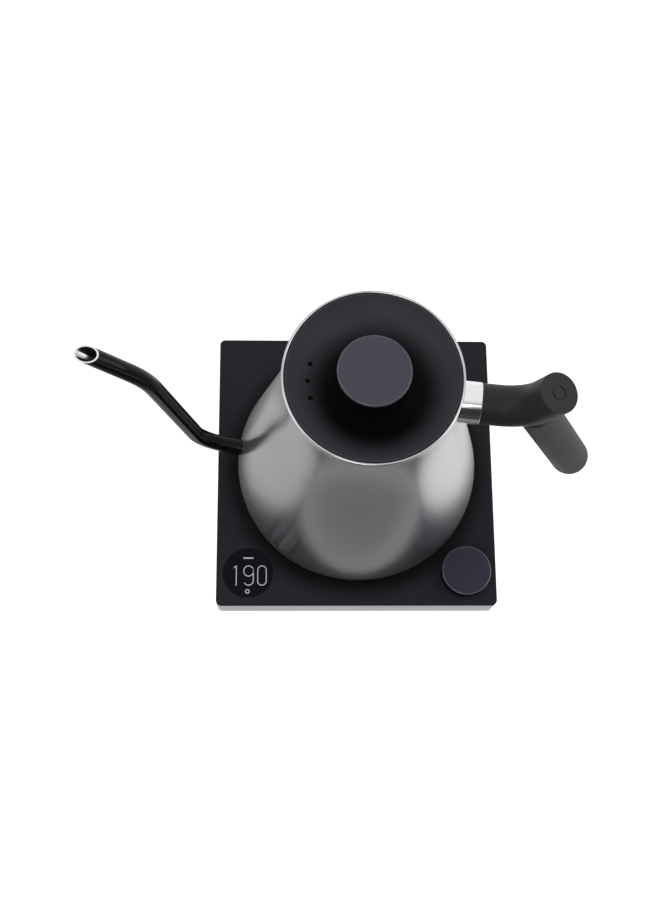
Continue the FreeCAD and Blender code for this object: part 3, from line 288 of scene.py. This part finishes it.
# %% Steel, chrome, aluminium and brass
ROUND_STROKES = (0.6, 0.6, 90)
LEVEL_STROKES = (1, 1, 60)
QUARTER_TURN = 0.25
steel = finish("satin steel", BRUSHED_LINES, (0.63, 0.615, 0.635), (0.56, 0.546, 0.565), 0.24, 0.05,
               0.12, ROUND_STROKES, Metallic=1, Anisotropic=0.6,
               Anisotropic_Rotation=QUARTER_TURN)
inner_steel = finish("inner steel", BRUSHED_LINES, (0.6, 0.6, 0.6), (0.5, 0.5, 0.51), 0.34, 0.12,
                     0.2, ROUND_STROKES, Metallic=1)
bore_steel = finish("tube bore", BRUSHED_LINES, (0.58, 0.58, 0.59), (0.42, 0.42, 0.43), 0.24,
                    0.1, 0.1, Metallic=1)
chrome = finish("polished chrome", FINE_GRAIN, (0.92, 0.92, 0.92), (0.88, 0.88, 0.89), 0.08, 0.03,
                0.02, Metallic=1)
band_metal = finish("satin aluminium", BRUSHED_LINES, (0.41, 0.40, 0.425),
                    (0.36, 0.352, 0.375), 0.38, 0.1, 0.2, LEVEL_STROKES, Metallic=1)
plated = finish("zinc plate", FINE_GRAIN, (0.52, 0.52, 0.54), (0.42, 0.42, 0.45), 0.36, 0.15, 0.1,
                Metallic=1)
brass = finish("contact brass", FINE_GRAIN, (0.72, 0.52, 0.22), (0.62, 0.43, 0.17), 0.25, 0.1, 0.05,
               Metallic=1)
iron = finish("cast iron", FINE_GRAIN, (0.12, 0.12, 0.12), (0.07, 0.07, 0.07), 0.7, 0.2, 0.6,
              Metallic=1)
metals = (steel, inner_steel, bore_steel, chrome, band_metal, plated, brass, iron)
print("metals:", [metal.name for metal in metals])

# %% [markdown]
# ## Blacks
# The object has several blacks that must be told apart: the base's brushed dark plate, the soft
# matt grip, the slightly bluish knob and dial, the gloss of the spout, and the lid's satin dish.

# %% Black plate, plastics and paint
STROKES_ALONG_X = (1, 60, 60)
top_black = finish("dark brushed plate", BRUSHED_LINES, (0.020, 0.019, 0.026),
                   (0.011, 0.0105, 0.015), 0.5, 0.16, 0.5, STROKES_ALONG_X,
                   Specular_IOR_Level=0.1)
case_black = finish("moulded case", FINE_GRAIN, (0.022, 0.022, 0.024), (0.015, 0.015, 0.017), 0.55,
                    0.15, 0.35)
lid_black = finish("lid black", FINE_GRAIN, (0.045, 0.044, 0.052), (0.036, 0.035, 0.042), 0.42,
                   0.08, 0.15, Specular_IOR_Level=0.06)
knob_black = finish("knob black", FINE_GRAIN, (0.060, 0.059, 0.080), (0.048, 0.047, 0.064), 0.46,
                    0.1, 0.3, Specular_IOR_Level=0.2)
# Painted shade: the knobs' sides are far darker than their tops, as the shade that falls on them.
knob_side_shade = finish("knob side shade", FINE_GRAIN, (0.005, 0.005, 0.006), (0.0035, 0.0035, 0.004), 0.5,
                   0.1, 0.2, Specular_IOR_Level=0.05)
# Painted highlight: the knobs' rounded edges are lighter than their tops; their gloss is real.
painted_edge_highlight = finish("painted edge highlight", FINE_GRAIN, (0.085, 0.085, 0.10), (0.035, 0.035, 0.042),
                     0.24, 0.1, 0.05, Specular_IOR_Level=0.5)
dial_black = finish("dial black", FINE_GRAIN, (0.030, 0.030, 0.050), (0.024, 0.024, 0.040), 0.42,
                    0.1, 0.25, Specular_IOR_Level=0.14)
grip_black = finish("soft grip", FINE_GRAIN, (0.017, 0.017, 0.020), (0.012, 0.012, 0.014), 0.5,
                    0.12, 0.3, Specular_IOR_Level=0.28)
gloss_black = finish("gloss black paint", FINE_GRAIN, (0.003, 0.003, 0.0034),
                     (0.002, 0.002, 0.0024), 0.2, 0.05, 0.03, Specular_IOR_Level=0.2)
print("finishes so far:", len(bpy.data.materials))

# %% [markdown]
# ## Soft, glassy and electric finishes
# The feet are black rubber, the lid's seal is grey silicone, and the display is a dark lens with
# digits that glow a little. The parts inside the base are seen only when it's taken apart.

# %% Rubber, silicone, lens, digits and boards
rubber = finish("rubber", FINE_GRAIN, (0.02, 0.02, 0.02), (0.012, 0.012, 0.012), 0.75, 0.15, 0.6)
silicone = finish("silicone", FINE_GRAIN, (0.09, 0.09, 0.095), (0.06, 0.06, 0.065), 0.6, 0.1, 0.2)
glass_black = finish("display lens", FINE_GRAIN, (0.005, 0.004, 0.009), (0.003, 0.0025, 0.007),
                     0.12, 0.04, 0.02, Specular_IOR_Level=0.06)
digit_light = finish("digit light", FINE_GRAIN, (0.42, 0.42, 0.45), (0.34, 0.34, 0.37), 0.5, 0.05,
                     0.0, Emission_Color=(0.75, 0.75, 0.8, 1), Emission_Strength=0.16)
component = finish("component black", FINE_GRAIN, (0.04, 0.04, 0.045), (0.025, 0.025, 0.03), 0.6,
                   0.15, 0.3)
board = finish("solder mask", FINE_GRAIN, (0.02, 0.13, 0.05), (0.012, 0.09, 0.035), 0.35, 0.12, 0.2)
print("finishes:", len(bpy.data.materials))

# %% [markdown]
# ## Painted shade towards an axis
# The lid's dish is painted blacker round the knob than at its edge, a little more so towards the
# front, as the shade round the knob, and the plate is painted darker in a disc where the kettle
# stands, as its contact shadow. In both, the round mask mixes the surface's colour with a darker
# one.

# %% Paint shade inside a radius
def paint_shade_inside(material, inner, outer, colour, centre=(0, 0, 0)):
    """Mix a darker colour in as painted shade, fully inside one radius and not at all outside
    another, in mm.
    """
    tree = material.node_tree
    mask = put(tree, "ShaderNodeGroup", node_tree=ROUND_MASK, name="round mask")
    mask.inputs["Inner"].default_value = inner * MM
    mask.inputs["Outer"].default_value = outer * MM
    mask.inputs["Centre"].default_value = [place * MM for place in centre]
    mix = put(tree, "ShaderNodeMix", data_type="RGBA")
    tree.links.new(mask.outputs["Mask"], mix.inputs["Factor"])
    mix.inputs["A"].default_value = (*colour, 1)
    tree.links.new(tree.nodes["surface"].outputs["Colour"], mix.inputs["B"])
    tree.links.new(mix.outputs["Result"], tree.nodes["Principled BSDF"].inputs["Base Color"])


# Painted shade round the lid's knob, a little more towards the front: two radii and a centre.
DISH_SHADE_FULL, DISH_SHADE_END, DISH_SHADE_CENTRE = 22, 38, (1, -4.5, 0)  # two radii and a place, in mm
# Painted contact shadow on the plate round the kettle's foot.
PLATE_SHADE_FULL, PLATE_SHADE_END = 68, 80
paint_shade_inside(lid_black, DISH_SHADE_FULL, DISH_SHADE_END, (0.0008, 0.0008, 0.0014), DISH_SHADE_CENTRE)
paint_shade_inside(top_black, PLATE_SHADE_FULL, PLATE_SHADE_END, (0.002, 0.002, 0.0025))
print("darker in the middle:", lid_black.name, "and", top_black.name)

# %% [markdown]
# ## Dressing the CAD nodes
# Each record slot gets its finish. A node keeps its mesh; only its material slots change.

# %% Assign the finishes by slot
SLOT_FINISH = {
    "base_top_black": top_black, "band_metal": band_metal, "case_black": case_black,
    "foot_rubber": rubber, "fastener_steel": plated, "contact_brass": brass,
    "lens_dark": glass_black, "component_black": component, "board_green": board,
    "body_steel": steel, "inner_steel": inner_steel, "spreader_aluminium": inner_steel,
    "spout_black": gloss_black, "collar_chrome": chrome, "grip_black": grip_black,
    "weight_iron": iron, "lid_black": lid_black, "knob_black": knob_black,
    "seal_silicone": silicone,
}
for part in frame["record"]["subparts"]:
    mesh = nodes[part["node"]].data
    mesh.materials.clear()
    mesh.materials.append(SLOT_FINISH[part["material_slot"]])

# %% [markdown]
# ## The vessel
# The body is one sheet of steel, spun to shape: a turned-in bottom, a round bottom corner, a
# straight cone, a long hollow shoulder and a short upright neck that ends in a rolled bead. A
# ring of edges is pulled along that outline, outside first and back down inside, and its last
# point is its first, so that the wall closes at the bottom opening. The round corner and the
# hollow shoulder are arcs, and the cone is the line that touches both.

# %% Sizes of the vessel and points along an arc
WALL = 0.8
WIDEST, CORNER = 67.82, 12.0  # radius of the foot, and of its round corner
BOTTOM_LIP = 3.82  # flat of the bottom inside the corner
SHOULDER = 250.0  # radius of the hollow curve
NECK, NECK_TALL = 43.1, 5.0  # radius and height of the upright neck
BEAD_IN, BEAD_TALL, BEAD_ROUND, BEAD_SLOPE = 1.3, 2.0, 0.6, 0.3  # the rolled rim
vessel_low, vessel_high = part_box("vessel")
BOTTOM, RIM = vessel_low[2] / MM, vessel_high[2] / MM
print(f"vessel from {BOTTOM:.1f} to {RIM:.1f} mm, widest {2 * WIDEST:.1f} mm")


def arc_points(centre, radius, start, end, steps):
    """Points (radius, height) along an arc, angles in degrees from outward to upward."""
    turns = [math.radians(start + (end - start) * i / steps) for i in range(steps + 1)]
    return [(centre[0] + radius * math.cos(t), centre[1] + radius * math.sin(t)) for t in turns]


# %% The vessel's outline
CORNER_STEPS, SHOULDER_STEPS, EDGE_STEPS = 10, 18, 5
corner_centre = (WIDEST - CORNER, BOTTOM + CORNER)
shoulder_centre = (NECK + SHOULDER, RIM - NECK_TALL)
across = shoulder_centre[0] - corner_centre[0]
upward = shoulder_centre[1] - corner_centre[1]
CONE = math.degrees(math.asin((SHOULDER + CORNER) / math.hypot(across, upward))
                    - math.atan2(across, upward))


def wall_line(inset):
    """The wall from the bottom opening to the neck, moved inward by inset."""
    return ([(corner_centre[0] - BOTTOM_LIP, BOTTOM + inset)]
            + arc_points(corner_centre, CORNER - inset, -90, CONE, CORNER_STEPS)
            + arc_points(shoulder_centre, SHOULDER + inset, 180 + CONE, 180, SHOULDER_STEPS))


bead_outer, bead_inner = NECK - BEAD_ROUND, NECK - BEAD_IN + BEAD_ROUND
bead = (arc_points((bead_outer, RIM - BEAD_ROUND), BEAD_ROUND, 0, 90, EDGE_STEPS)
        + arc_points((bead_inner, RIM - BEAD_ROUND), BEAD_ROUND, 90, 180, EDGE_STEPS)
        + [(NECK - BEAD_IN, RIM - BEAD_TALL), (NECK - WALL, RIM - BEAD_TALL - BEAD_SLOPE)])
outline = wall_line(0) + bead + wall_line(WALL)[::-1]
outline.append(outline[0])
print(f"outline: {len(outline)} points")

# %% Spin the vessel
vessel = turned_piece("kettle_vessel", outline)
print(f"cone {CONE:.2f} degrees, {len(vessel.data.vertices)} points")

# %% [markdown]
# ## The spout
# The spout is a thin tube, bent twice like a pipe and cut level at its mouth, painted black
# outside and left bare at the lip and inside. It's made as a pipe bender makes it: a ring of
# edges is pushed straight, spun round the centre of each bend, and pushed straight again.
# Solidify gives this skin its wall, inward, with the bare metal's slot for the inner face, and
# a level cut with a fill makes the lip, which is polished. The line is given as (outward, up)
# in the kettle's own upright plane, and each bend's radius belongs to the corner between two runs.

# %% Bend a tube
SPOUT_R, SPOUT_WALL = 4.5, 0.7  # outer radius and wall
SPOUT_LINE = [(-64.0, 45.37), (-88.5, 52.4), (-110.1, 148.2), (-145.6, 188.2)]
SPOUT_BENDS = [24.0, 45.0]
RING_POINTS, BEND_STEPS = 48, 14


def flat(point):
    """A point of the kettle's own upright plane, in metres."""
    return Vector((point[0], 0, point[1])) * MM


def bent_tube(name, line, bends, radius):
    """A tube along straight runs whose corners are rounded."""
    spots = [flat(point) for point in line]
    runs = [(after - before).normalized() for before, after in zip(spots, spots[1:])]
    deselect()
    bpy.ops.mesh.primitive_circle_add(vertices=RING_POINTS, radius=radius * MM)
    tube = bpy.context.object
    tube.name = name
    tube.rotation_euler = runs[0].to_track_quat("Z", "Y").to_euler()
    tube.location = spots[0]
    bpy.ops.object.transform_apply(location=True, rotation=True)
    bpy.ops.object.mode_set(mode="EDIT")
    bpy.ops.mesh.select_all(action="SELECT")
    here = spots[0]
    for i, bend in enumerate(bends):
        turn = runs[i].angle(runs[i + 1])
        reach = bend * MM * math.tan(turn / 2)
        start = spots[i + 1] - runs[i] * reach
        bpy.ops.mesh.extrude_edges_move(TRANSFORM_OT_translate={"value": start - here})
        axis = runs[i].cross(runs[i + 1]).normalized()
        centre = start + axis.cross(runs[i]) * bend * MM
        bpy.ops.mesh.spin(steps=BEND_STEPS, angle=-turn, center=centre, axis=axis)
        here = spots[i + 1] + runs[i + 1] * reach
    bpy.ops.mesh.extrude_edges_move(TRANSFORM_OT_translate={"value": spots[-1] - here})
    bpy.ops.mesh.select_all(action="SELECT")
    bpy.ops.mesh.remove_doubles(threshold=SAME_POINT)
    bpy.ops.mesh.normals_make_consistent(inside=False)
    bpy.ops.object.mode_set(mode="OBJECT")
    print(f"{name}: {len(tube.data.vertices)} points before it has a wall")
    return tube


spout = bent_tube("kettle_spout", SPOUT_LINE, SPOUT_BENDS, SPOUT_R)

# %% Give the tube its wall and cut the mouth level
MOUTH = 177.0  # height above the table
LEVEL, NEAR = 0.999, 1e-5  # the lip faces up at least this much, within these metres of the cut
BARE_SLOT, LIP_SLOT = 1, 2
paint(spout, gloss_black, bore_steel, chrome)
wall = spout.modifiers.new("wall", "SOLIDIFY")
wall.thickness = SPOUT_WALL * MM
wall.offset = -1
wall.material_offset = BARE_SLOT
wall.material_offset_rim = BARE_SLOT
make_active(spout)
bpy.ops.object.modifier_apply(modifier="wall")
bpy.ops.object.mode_set(mode="EDIT")
bpy.ops.mesh.select_all(action="SELECT")
bpy.ops.mesh.bisect(plane_co=(0, 0, MOUTH * MM), plane_no=(0, 0, 1), clear_outer=True,
                    use_fill=True)
bpy.ops.mesh.select_all(action="SELECT")
bpy.ops.mesh.normals_make_consistent(inside=False)
bpy.ops.object.mode_set(mode="OBJECT")
lip = [face for face in spout.data.polygons
       if face.normal.z > LEVEL and face.center.z > MOUTH * MM - NEAR]
for face in lip:
    face.material_index = LIP_SLOT
print(f"lip: {sum(face.area for face in lip) / MM ** 2:.1f} square mm")

# %% [markdown]
# ## The hole for the spout
# The spout's tube passes through the vessel's wall, so the wall has a round hole there. A
# cylinder along the tube's first run is subtracted from the wall, as a hole saw would do it.

# %% Cutting one shape from another
def cut_away(piece, tool):
    """Subtract a tool from a piece and throw the tool away."""
    make_active(piece)
    cutter = piece.modifiers.new("cut", "BOOLEAN")
    cutter.operation = "DIFFERENCE"
    cutter.solver = "EXACT"
    cutter.object = tool
    bpy.ops.object.modifier_apply(modifier="cut")
    bpy.data.objects.remove(tool)
    print(f"{piece.name} cut: {len(piece.data.polygons)} faces")


# %% Saw the hole
SAW_PLACE = 0.3  # of the first run; a saw centred there stands out of both faces of the wall
deselect()
first_run = flat(SPOUT_LINE[1]) - flat(SPOUT_LINE[0])
bpy.ops.mesh.primitive_cylinder_add(vertices=RING_POINTS, radius=SPOUT_R * MM,
                                    depth=first_run.length,
                                    location=flat(SPOUT_LINE[0]) + first_run * SAW_PLACE,
                                    rotation=first_run.to_track_quat("Z", "Y").to_euler())
hole_saw = bpy.context.object
bpy.ops.object.transform_apply(location=True, rotation=True)
cut_away(vessel, hole_saw)

# %% [markdown]
# ## The collar
# A short polished tube covers the joint between the vessel's neck and the grip. Its inner end
# is hollowed to fit the round neck, so the form of the neck is subtracted from it.

# %% Turn the collar and fit it to the neck
ARM_UP = 165.0  # height of the collar's axis above the table
COLLAR_R, COLLAR_BORE, COLLAR_LONG, COLLAR_EDGE = 10.2, 5.6, 9.9, 0.25
INTO_NECK = 12.0  # how far inside the neck the tube starts, before it is cut
FIT = 0.05  # between the collar and the wall
FORM_SWEEP, FORM_STEPS = 10, 12  # the stretch of the shoulder that the collar meets, in degrees
collar = turned_piece("neck_collar", [
    (COLLAR_BORE, -INTO_NECK), (COLLAR_R, -INTO_NECK), (COLLAR_R, COLLAR_LONG - COLLAR_EDGE),
    (COLLAR_R - COLLAR_EDGE, COLLAR_LONG), (COLLAR_BORE, COLLAR_LONG), (COLLAR_BORE, -INTO_NECK)])
collar.rotation_euler = (0, math.radians(90), 0)
collar.location = Vector((NECK, 0, ARM_UP)) * MM
bpy.ops.object.transform_apply(location=True, rotation=True)
shoulder = arc_points(shoulder_centre, SHOULDER - FIT, 180 + FORM_SWEEP, 180, FORM_STEPS)
neck_form = turned_piece("neck_form", [(0, shoulder[0][1])] + shoulder
                         + [(NECK + FIT, RIM), (0, RIM)])
cut_away(collar, neck_form)

# %% [markdown]
# ## The lid's knob and the dial
# Both are turned discs: a flat top, a glossier rounded edge painted lighter as a highlight, and a
# side painted near black as shade. The outline starts at the top of the bore from below, so that
# the screw or the shaft has its hole, and ends in the middle of the top. The dial is hollow round
# its nut too.

# %% Turn a knob
FLAT_TOP = 0.995  # upward part of the normal of a face that counts as flat
TOP_SLOT, SIDE_SLOT, EDGE_SLOT = 0, 1, 2


def knob_piece(name, node, edge, hollow, top_material):
    """A knob over a CAD knob's box, with the given hollow of (radius, height) points."""
    low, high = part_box(node)
    radius, top = (high[0] - low[0]) / 2 / MM, high[2] / MM
    ring = arc_points((radius - edge, top - edge), edge, 0, 90, EDGE_STEPS)
    knob = turned_piece(name, hollow + [(radius, low[2] / MM)] + ring + [(0, top)])
    knob.location = ((low[0] + high[0]) / 2, (low[1] + high[1]) / 2, 0)
    bpy.ops.object.transform_apply(location=True)
    # The side gets painted shade and the rounded edge a painted highlight.
    paint(knob, top_material, knob_side_shade, painted_edge_highlight)
    for face in knob.data.polygons:
        if face.center.z <= (top - edge) * MM:
            face.material_index = SIDE_SLOT
        else:
            face.material_index = TOP_SLOT if face.normal.z > FLAT_TOP else EDGE_SLOT
    return knob


# %% The lid's knob
KNOB_EDGE, SCREW_HOLE = 0.8, 2.1  # radii of the rounded edge and of the hole
screw_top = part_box("lid_knob_screw")[1][2] / MM
knob_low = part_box("lid_knob")[0][2] / MM
screw_bore = [(0, screw_top), (SCREW_HOLE, screw_top), (SCREW_HOLE, knob_low)]
lid_knob = knob_piece("lid_handle_knob", "lid_knob", KNOB_EDGE, screw_bore, knob_black)
print(f"screw hole from {knob_low:.1f} to {screw_top:.1f} mm")

# %% The dial
DIAL_EDGE, SHAFT_FIT, NUT_ROOM, NUT_ROOM_UP = 0.7, 0.1, 0.8, 2.1


def round_size(node):
    """An upright round node's radius and top, in mm."""
    low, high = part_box(node)
    return (high[0] - low[0]) / 2 / MM, high[2] / MM


shaft_r, shaft_top = round_size("encoder_shaft")
nut_r, nut_top = round_size("encoder_nut")
dial_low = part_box("dial_knob")[0][2] / MM
bore, hollow, hollow_top = shaft_r + SHAFT_FIT, nut_r + NUT_ROOM, nut_top + NUT_ROOM_UP
nut_hollow = [(0, shaft_top), (bore, shaft_top), (bore, hollow_top), (hollow, hollow_top),
              (hollow, dial_low)]
dial = knob_piece("setting_dial", "dial_knob", DIAL_EDGE, nut_hollow, dial_black)
print(f"dial hollow {2 * hollow:.1f} mm wide up to {hollow_top:.1f} mm")

# %% [markdown]
# ## Turn the kettle's pieces
# The kettle stands on its base with the handle turned a little towards the front. Pieces drawn
# along X are turned about the base's centre, and the turn is applied to the mesh.

# %% Turn, smooth and hand over
KETTLE_TURN = math.radians(-6)
TUBE_SMOOTH_UNDER = 50  # degrees


def turn_with_kettle(piece):
    """Turn a piece about the upright axis and apply the turn to its mesh."""
    make_active(piece)
    piece.rotation_euler = (0, 0, KETTLE_TURN)
    bpy.ops.object.transform_apply(rotation=True)
    return piece


paint(vessel, steel)
paint(collar, chrome)
hand_over(smooth(turn_with_kettle(vessel)), "kettle", "body_steel", "vessel")
hand_over(smooth(turn_with_kettle(spout), TUBE_SMOOTH_UNDER), "kettle", "spout_black", "spout")
hand_over(smooth(turn_with_kettle(collar)), "kettle", "collar_chrome", "handle_collar")
hand_over(smooth(lid_knob), "lid", "knob_black", "lid_knob")
hand_over(smooth(dial), "dial", "knob_black", "dial_knob")

# %% [markdown]
# ## The display's digits
# The round lens has thin, light digits that show a temperature. A "0" is a circle pulled tall,
# inset by the width of a stroke, with its middle taken out and a little height given. A "9" is a
# smaller one on top of the right half of a tall one. A plain bar and a plain ring stand above
# and below them, where such a display tells its mode and its unit.

# %% Strokes
lens_low, lens_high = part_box("display_lens")
lens_x = (lens_low[0] + lens_high[0]) / 2
lens_y = (lens_low[1] + lens_high[1]) / 2
lens_top = lens_high[2]
STROKE, STROKE_TALL, SOFT_EDGE = 0.5, 0.06, 0.01
ON_LINE = 1e-7  # metres from the ring's own middle line
print(f"lens top {lens_top / MM:.1f} mm")


def ring_stroke(name, x, y, wide, tall, steps=32):
    """An oval ring of one stroke's width, its centre at x, y from the lens's centre, in mm."""
    deselect()
    bpy.ops.mesh.primitive_circle_add(vertices=steps, radius=wide / 2 * MM, fill_type="NGON")
    ring = bpy.context.object
    ring.name = name
    stretch = (tall - wide) / 2 * MM
    for point in ring.data.vertices:
        point.co.y += math.copysign(stretch, point.co.y) if abs(point.co.y) > ON_LINE else 0
    bpy.ops.object.mode_set(mode="EDIT")
    bpy.ops.mesh.select_all(action="SELECT")
    bpy.ops.mesh.inset(thickness=STROKE * MM)
    bpy.ops.mesh.delete(type="ONLY_FACE")
    bpy.ops.mesh.select_all(action="SELECT")
    bpy.ops.mesh.extrude_region_move(TRANSFORM_OT_translate={"value": (0, 0, STROKE_TALL * MM)})
    bpy.ops.mesh.select_all(action="SELECT")
    bpy.ops.mesh.normals_make_consistent(inside=False)
    bpy.ops.object.mode_set(mode="OBJECT")
    ring.location = (lens_x + x * MM, lens_y + y * MM, lens_top)
    bpy.ops.object.transform_apply(location=True)
    return ring


def bar_stroke(name, x, y, wide, tall, lean=0):
    """A straight stroke with softened edges, placed and sized as a ring is."""
    deselect()
    bpy.ops.mesh.primitive_cube_add(size=1)
    bar = bpy.context.object
    bar.name = name
    bar.dimensions = (wide * MM, tall * MM, STROKE_TALL * MM)
    bpy.ops.object.transform_apply(scale=True)
    bpy.ops.object.mode_set(mode="EDIT")
    bpy.ops.mesh.select_all(action="SELECT")
    bpy.ops.mesh.bevel(offset=SOFT_EDGE * MM, segments=2)
    bpy.ops.object.mode_set(mode="OBJECT")
    bar.rotation_euler = (0, 0, math.radians(lean))
    bar.location = (lens_x + x * MM, lens_y + y * MM, lens_top + STROKE_TALL / 2 * MM)
    bpy.ops.object.transform_apply(location=True, rotation=True)
    return bar


# %% Set the digits
DIGIT_TALL, DIGIT_Y = 11.6, -1.5
ZERO_X, ZERO_WIDE = 8.0, 5.4
NINE_X, NINE_WIDE, LOOP_TALL, LOOP_UP = 0.4, 6.0, 6.4, 2.6
TAIL_SIDE = (0.86, -0.5, 0)  # the tall ring is kept on this side of its centre
ONE_X, FLAG_X, FLAG_DROP, FLAG_LONG, FLAG_LEAN = -6.6, -7.3, 0.75, 1.9, -45
MODE_BAR = (0.2, 8.6, 5.6, 0.8)  # x, y, wide, tall
UNIT_RING, UNIT_STEPS = (-0.2, -10.6, 2.6, 2.6), 20
zero = ring_stroke("zero", ZERO_X, DIGIT_Y, ZERO_WIDE, DIGIT_TALL)
nine_loop = ring_stroke("nine_loop", NINE_X, DIGIT_Y + LOOP_UP, NINE_WIDE, LOOP_TALL)
nine_tail = ring_stroke("nine_tail", NINE_X, DIGIT_Y, NINE_WIDE, DIGIT_TALL)
make_active(nine_tail)
bpy.ops.object.mode_set(mode="EDIT")
bpy.ops.mesh.select_all(action="SELECT")
bpy.ops.mesh.bisect(plane_co=(lens_x + NINE_X * MM, lens_y + DIGIT_Y * MM, 0), plane_no=TAIL_SIDE,
                    clear_inner=True, use_fill=True)
bpy.ops.object.mode_set(mode="OBJECT")
one = bar_stroke("one", ONE_X, DIGIT_Y, STROKE, DIGIT_TALL)
flag_y = DIGIT_Y + DIGIT_TALL / 2 - FLAG_DROP
flag = bar_stroke("one_flag", FLAG_X, flag_y, STROKE, FLAG_LONG, FLAG_LEAN)
mode_bar = bar_stroke("mode_bar", *MODE_BAR)
unit_ring = ring_stroke("unit_ring", *UNIT_RING, UNIT_STEPS)

# %% Join the strokes
digits = [zero, nine_loop, nine_tail, one, flag, mode_bar, unit_ring]
deselect()
for stroke in digits:
    stroke.select_set(True)
bpy.context.view_layer.objects.active = zero
bpy.ops.object.join()
zero.name = "display_digits"
zero.data.name = "display_digits"
paint(zero, digit_light)
hand_over(zero, "base", "lens_dark")

# %% [markdown]
# ## The studio
# Steel looks like what it reflects, so the studio is built for reflections: a pale floor, a room
# that is bright overhead and behind and dark in front, and cards on the floor. The near card
# darkens the middle of the vessel, the far one puts black into the collar, and the left one tones
# down the vessel's left side. The cards show only in reflections, and the camera itself sees a
# pale backdrop all round. Two lamps at the sides and one in front shape the matt parts.

# %% Floor and cards
SHOWN, FLOOR_ROUGH = 1.15, 0.9


def stage_plane(name, size, place, mirrored, grey=0.1):
    """A level plane of one brightness to the camera and another to reflections."""
    deselect()
    bpy.ops.mesh.primitive_plane_add(size=1, location=place)
    plane = bpy.context.object
    plane.name = name
    plane.scale = (*size, 1)
    bpy.ops.object.transform_apply(location=True, scale=True)
    material = bpy.data.materials.new(name)
    material.use_nodes = True
    tree = material.node_tree
    shader = tree.nodes["Principled BSDF"]
    shader.inputs["Base Color"].default_value = (grey, grey, grey, 1)
    shader.inputs["Roughness"].default_value = FLOOR_ROUGH
    shader.inputs["Emission Color"].default_value = (1, 1, 1, 1)
    path = put(tree, "ShaderNodeLightPath")
    change = put(tree, "ShaderNodeMapRange")
    tree.links.new(path.outputs["Is Camera Ray"], change.inputs["Value"])
    change.inputs["To Min"].default_value = mirrored
    change.inputs["To Max"].default_value = SHOWN
    tree.links.new(change.outputs["Result"], shader.inputs["Emission Strength"])
    plane.data.materials.append(material)
    return plane


stage_plane("floor", (8, 8), (0, 0, 0), 0.84)
cards = [stage_plane("near front card", (0.30, 0.20), (0, -0.196, 0.0008), 0.085),
         stage_plane("far front card", (0.60, 3.70), (0, -2.146, 0.0006), 0.02, grey=0.0),
         stage_plane("left card", (0.50, 0.60), (-0.345, -0.05, 0.0004), 0.42)]
for card in cards:
    card.visible_camera = False
    card.visible_shadow = False
print("cards:", [card.name for card in cards])

# %% Room light
DARK_FRONT, BRIGHT_ROOM, BACKDROP = 0.035, 0.88, 0.97
FRONT_Y, TOP_Y = -0.8, -0.1  # the Y part of a direction
world = bpy.data.worlds.new("room")
bpy.context.scene.world = world
world.use_nodes = True
room = world.node_tree
facing = put(room, "ShaderNodeTexCoord")
split = put(room, "ShaderNodeSeparateXYZ")
room.links.new(facing.outputs["Generated"], split.inputs["Vector"])
falloff = put(room, "ShaderNodeMapRange", interpolation_type="SMOOTHSTEP")
room.links.new(split.outputs["Y"], falloff.inputs["Value"])
falloff.inputs["From Min"].default_value = FRONT_Y
falloff.inputs["From Max"].default_value = TOP_Y
falloff.inputs["To Min"].default_value = DARK_FRONT
falloff.inputs["To Max"].default_value = BRIGHT_ROOM
seen = put(room, "ShaderNodeLightPath")
backdrop = put(room, "ShaderNodeMix", data_type="FLOAT")
room.links.new(seen.outputs["Is Camera Ray"], backdrop.inputs["Factor"])
room.links.new(falloff.outputs["Result"], backdrop.inputs["A"])
backdrop.inputs["B"].default_value = BACKDROP
room.links.new(backdrop.outputs["Result"], room.nodes["Background"].inputs["Strength"])
room.nodes["Background"].inputs["Color"].default_value = (1, 1, 1, 1)
print(f"room light from {DARK_FRONT} in front to {BRIGHT_ROOM} overhead and behind")


# %% Lamps
def soft_light(name, place, aim, size, power):
    """A rectangular lamp that looks at a point, in metres and watts."""
    data = bpy.data.lights.new(name, "AREA")
    data.shape = "RECTANGLE"
    data.size, data.size_y = size
    data.energy = power
    lamp = bpy.data.objects.new(name, data)
    bpy.context.scene.collection.objects.link(lamp)
    lamp.location = place
    lamp.rotation_euler = (Vector(aim) - Vector(place)).to_track_quat("-Z", "Y").to_euler()
    return lamp


soft_light("left side", (-1.2, -0.1, 0.9), (0, 0, 0.1), (0.8, 1.2), 3)
soft_light("right side", (1.2, -0.1, 0.9), (0, 0, 0.1), (0.8, 1.2), 4)
soft_light("front fill", (-0.25, -1.0, 1.3), (0, 0, 0.15), (0.7, 0.7), 5)
bpy.context.scene.view_settings.view_transform = "Standard"
print("lamps:", [lamp.name for lamp in bpy.data.lights])

# %% [markdown]
# ## The camera
# It looks down from nearly overhead, a little from the front and the left, and is rolled a few
# degrees. The angles give its three axes, and the place is measured from the base's centre.

# %% Camera
LOOK_DOWN = math.radians(73.81)
SWING = math.radians(-7.07)
ROLL = math.radians(6.96)
CAMERA_PLACE = Vector((-0.0409, -0.2006, 0.7570))
FOCAL_LENGTH = 51.8
back = Vector((math.sin(SWING) * math.cos(LOOK_DOWN), -math.cos(SWING) * math.cos(LOOK_DOWN),
               math.sin(LOOK_DOWN)))
side = Vector((0, 0, 1)).cross(back).normalized()
above = back.cross(side)
right = math.cos(ROLL) * side + math.sin(ROLL) * above
up = math.cos(ROLL) * above - math.sin(ROLL) * side
lens = bpy.data.cameras.new("camera")
lens.lens = FOCAL_LENGTH
camera = bpy.data.objects.new("camera", lens)
bpy.context.scene.collection.objects.link(camera)
axes = Matrix((right, up, back)).transposed().to_4x4()
camera.matrix_world = Matrix.Translation(CAMERA_PLACE) @ axes
bpy.context.scene.camera = camera
print("camera at", tuple(round(value, 3) for value in CAMERA_PLACE))
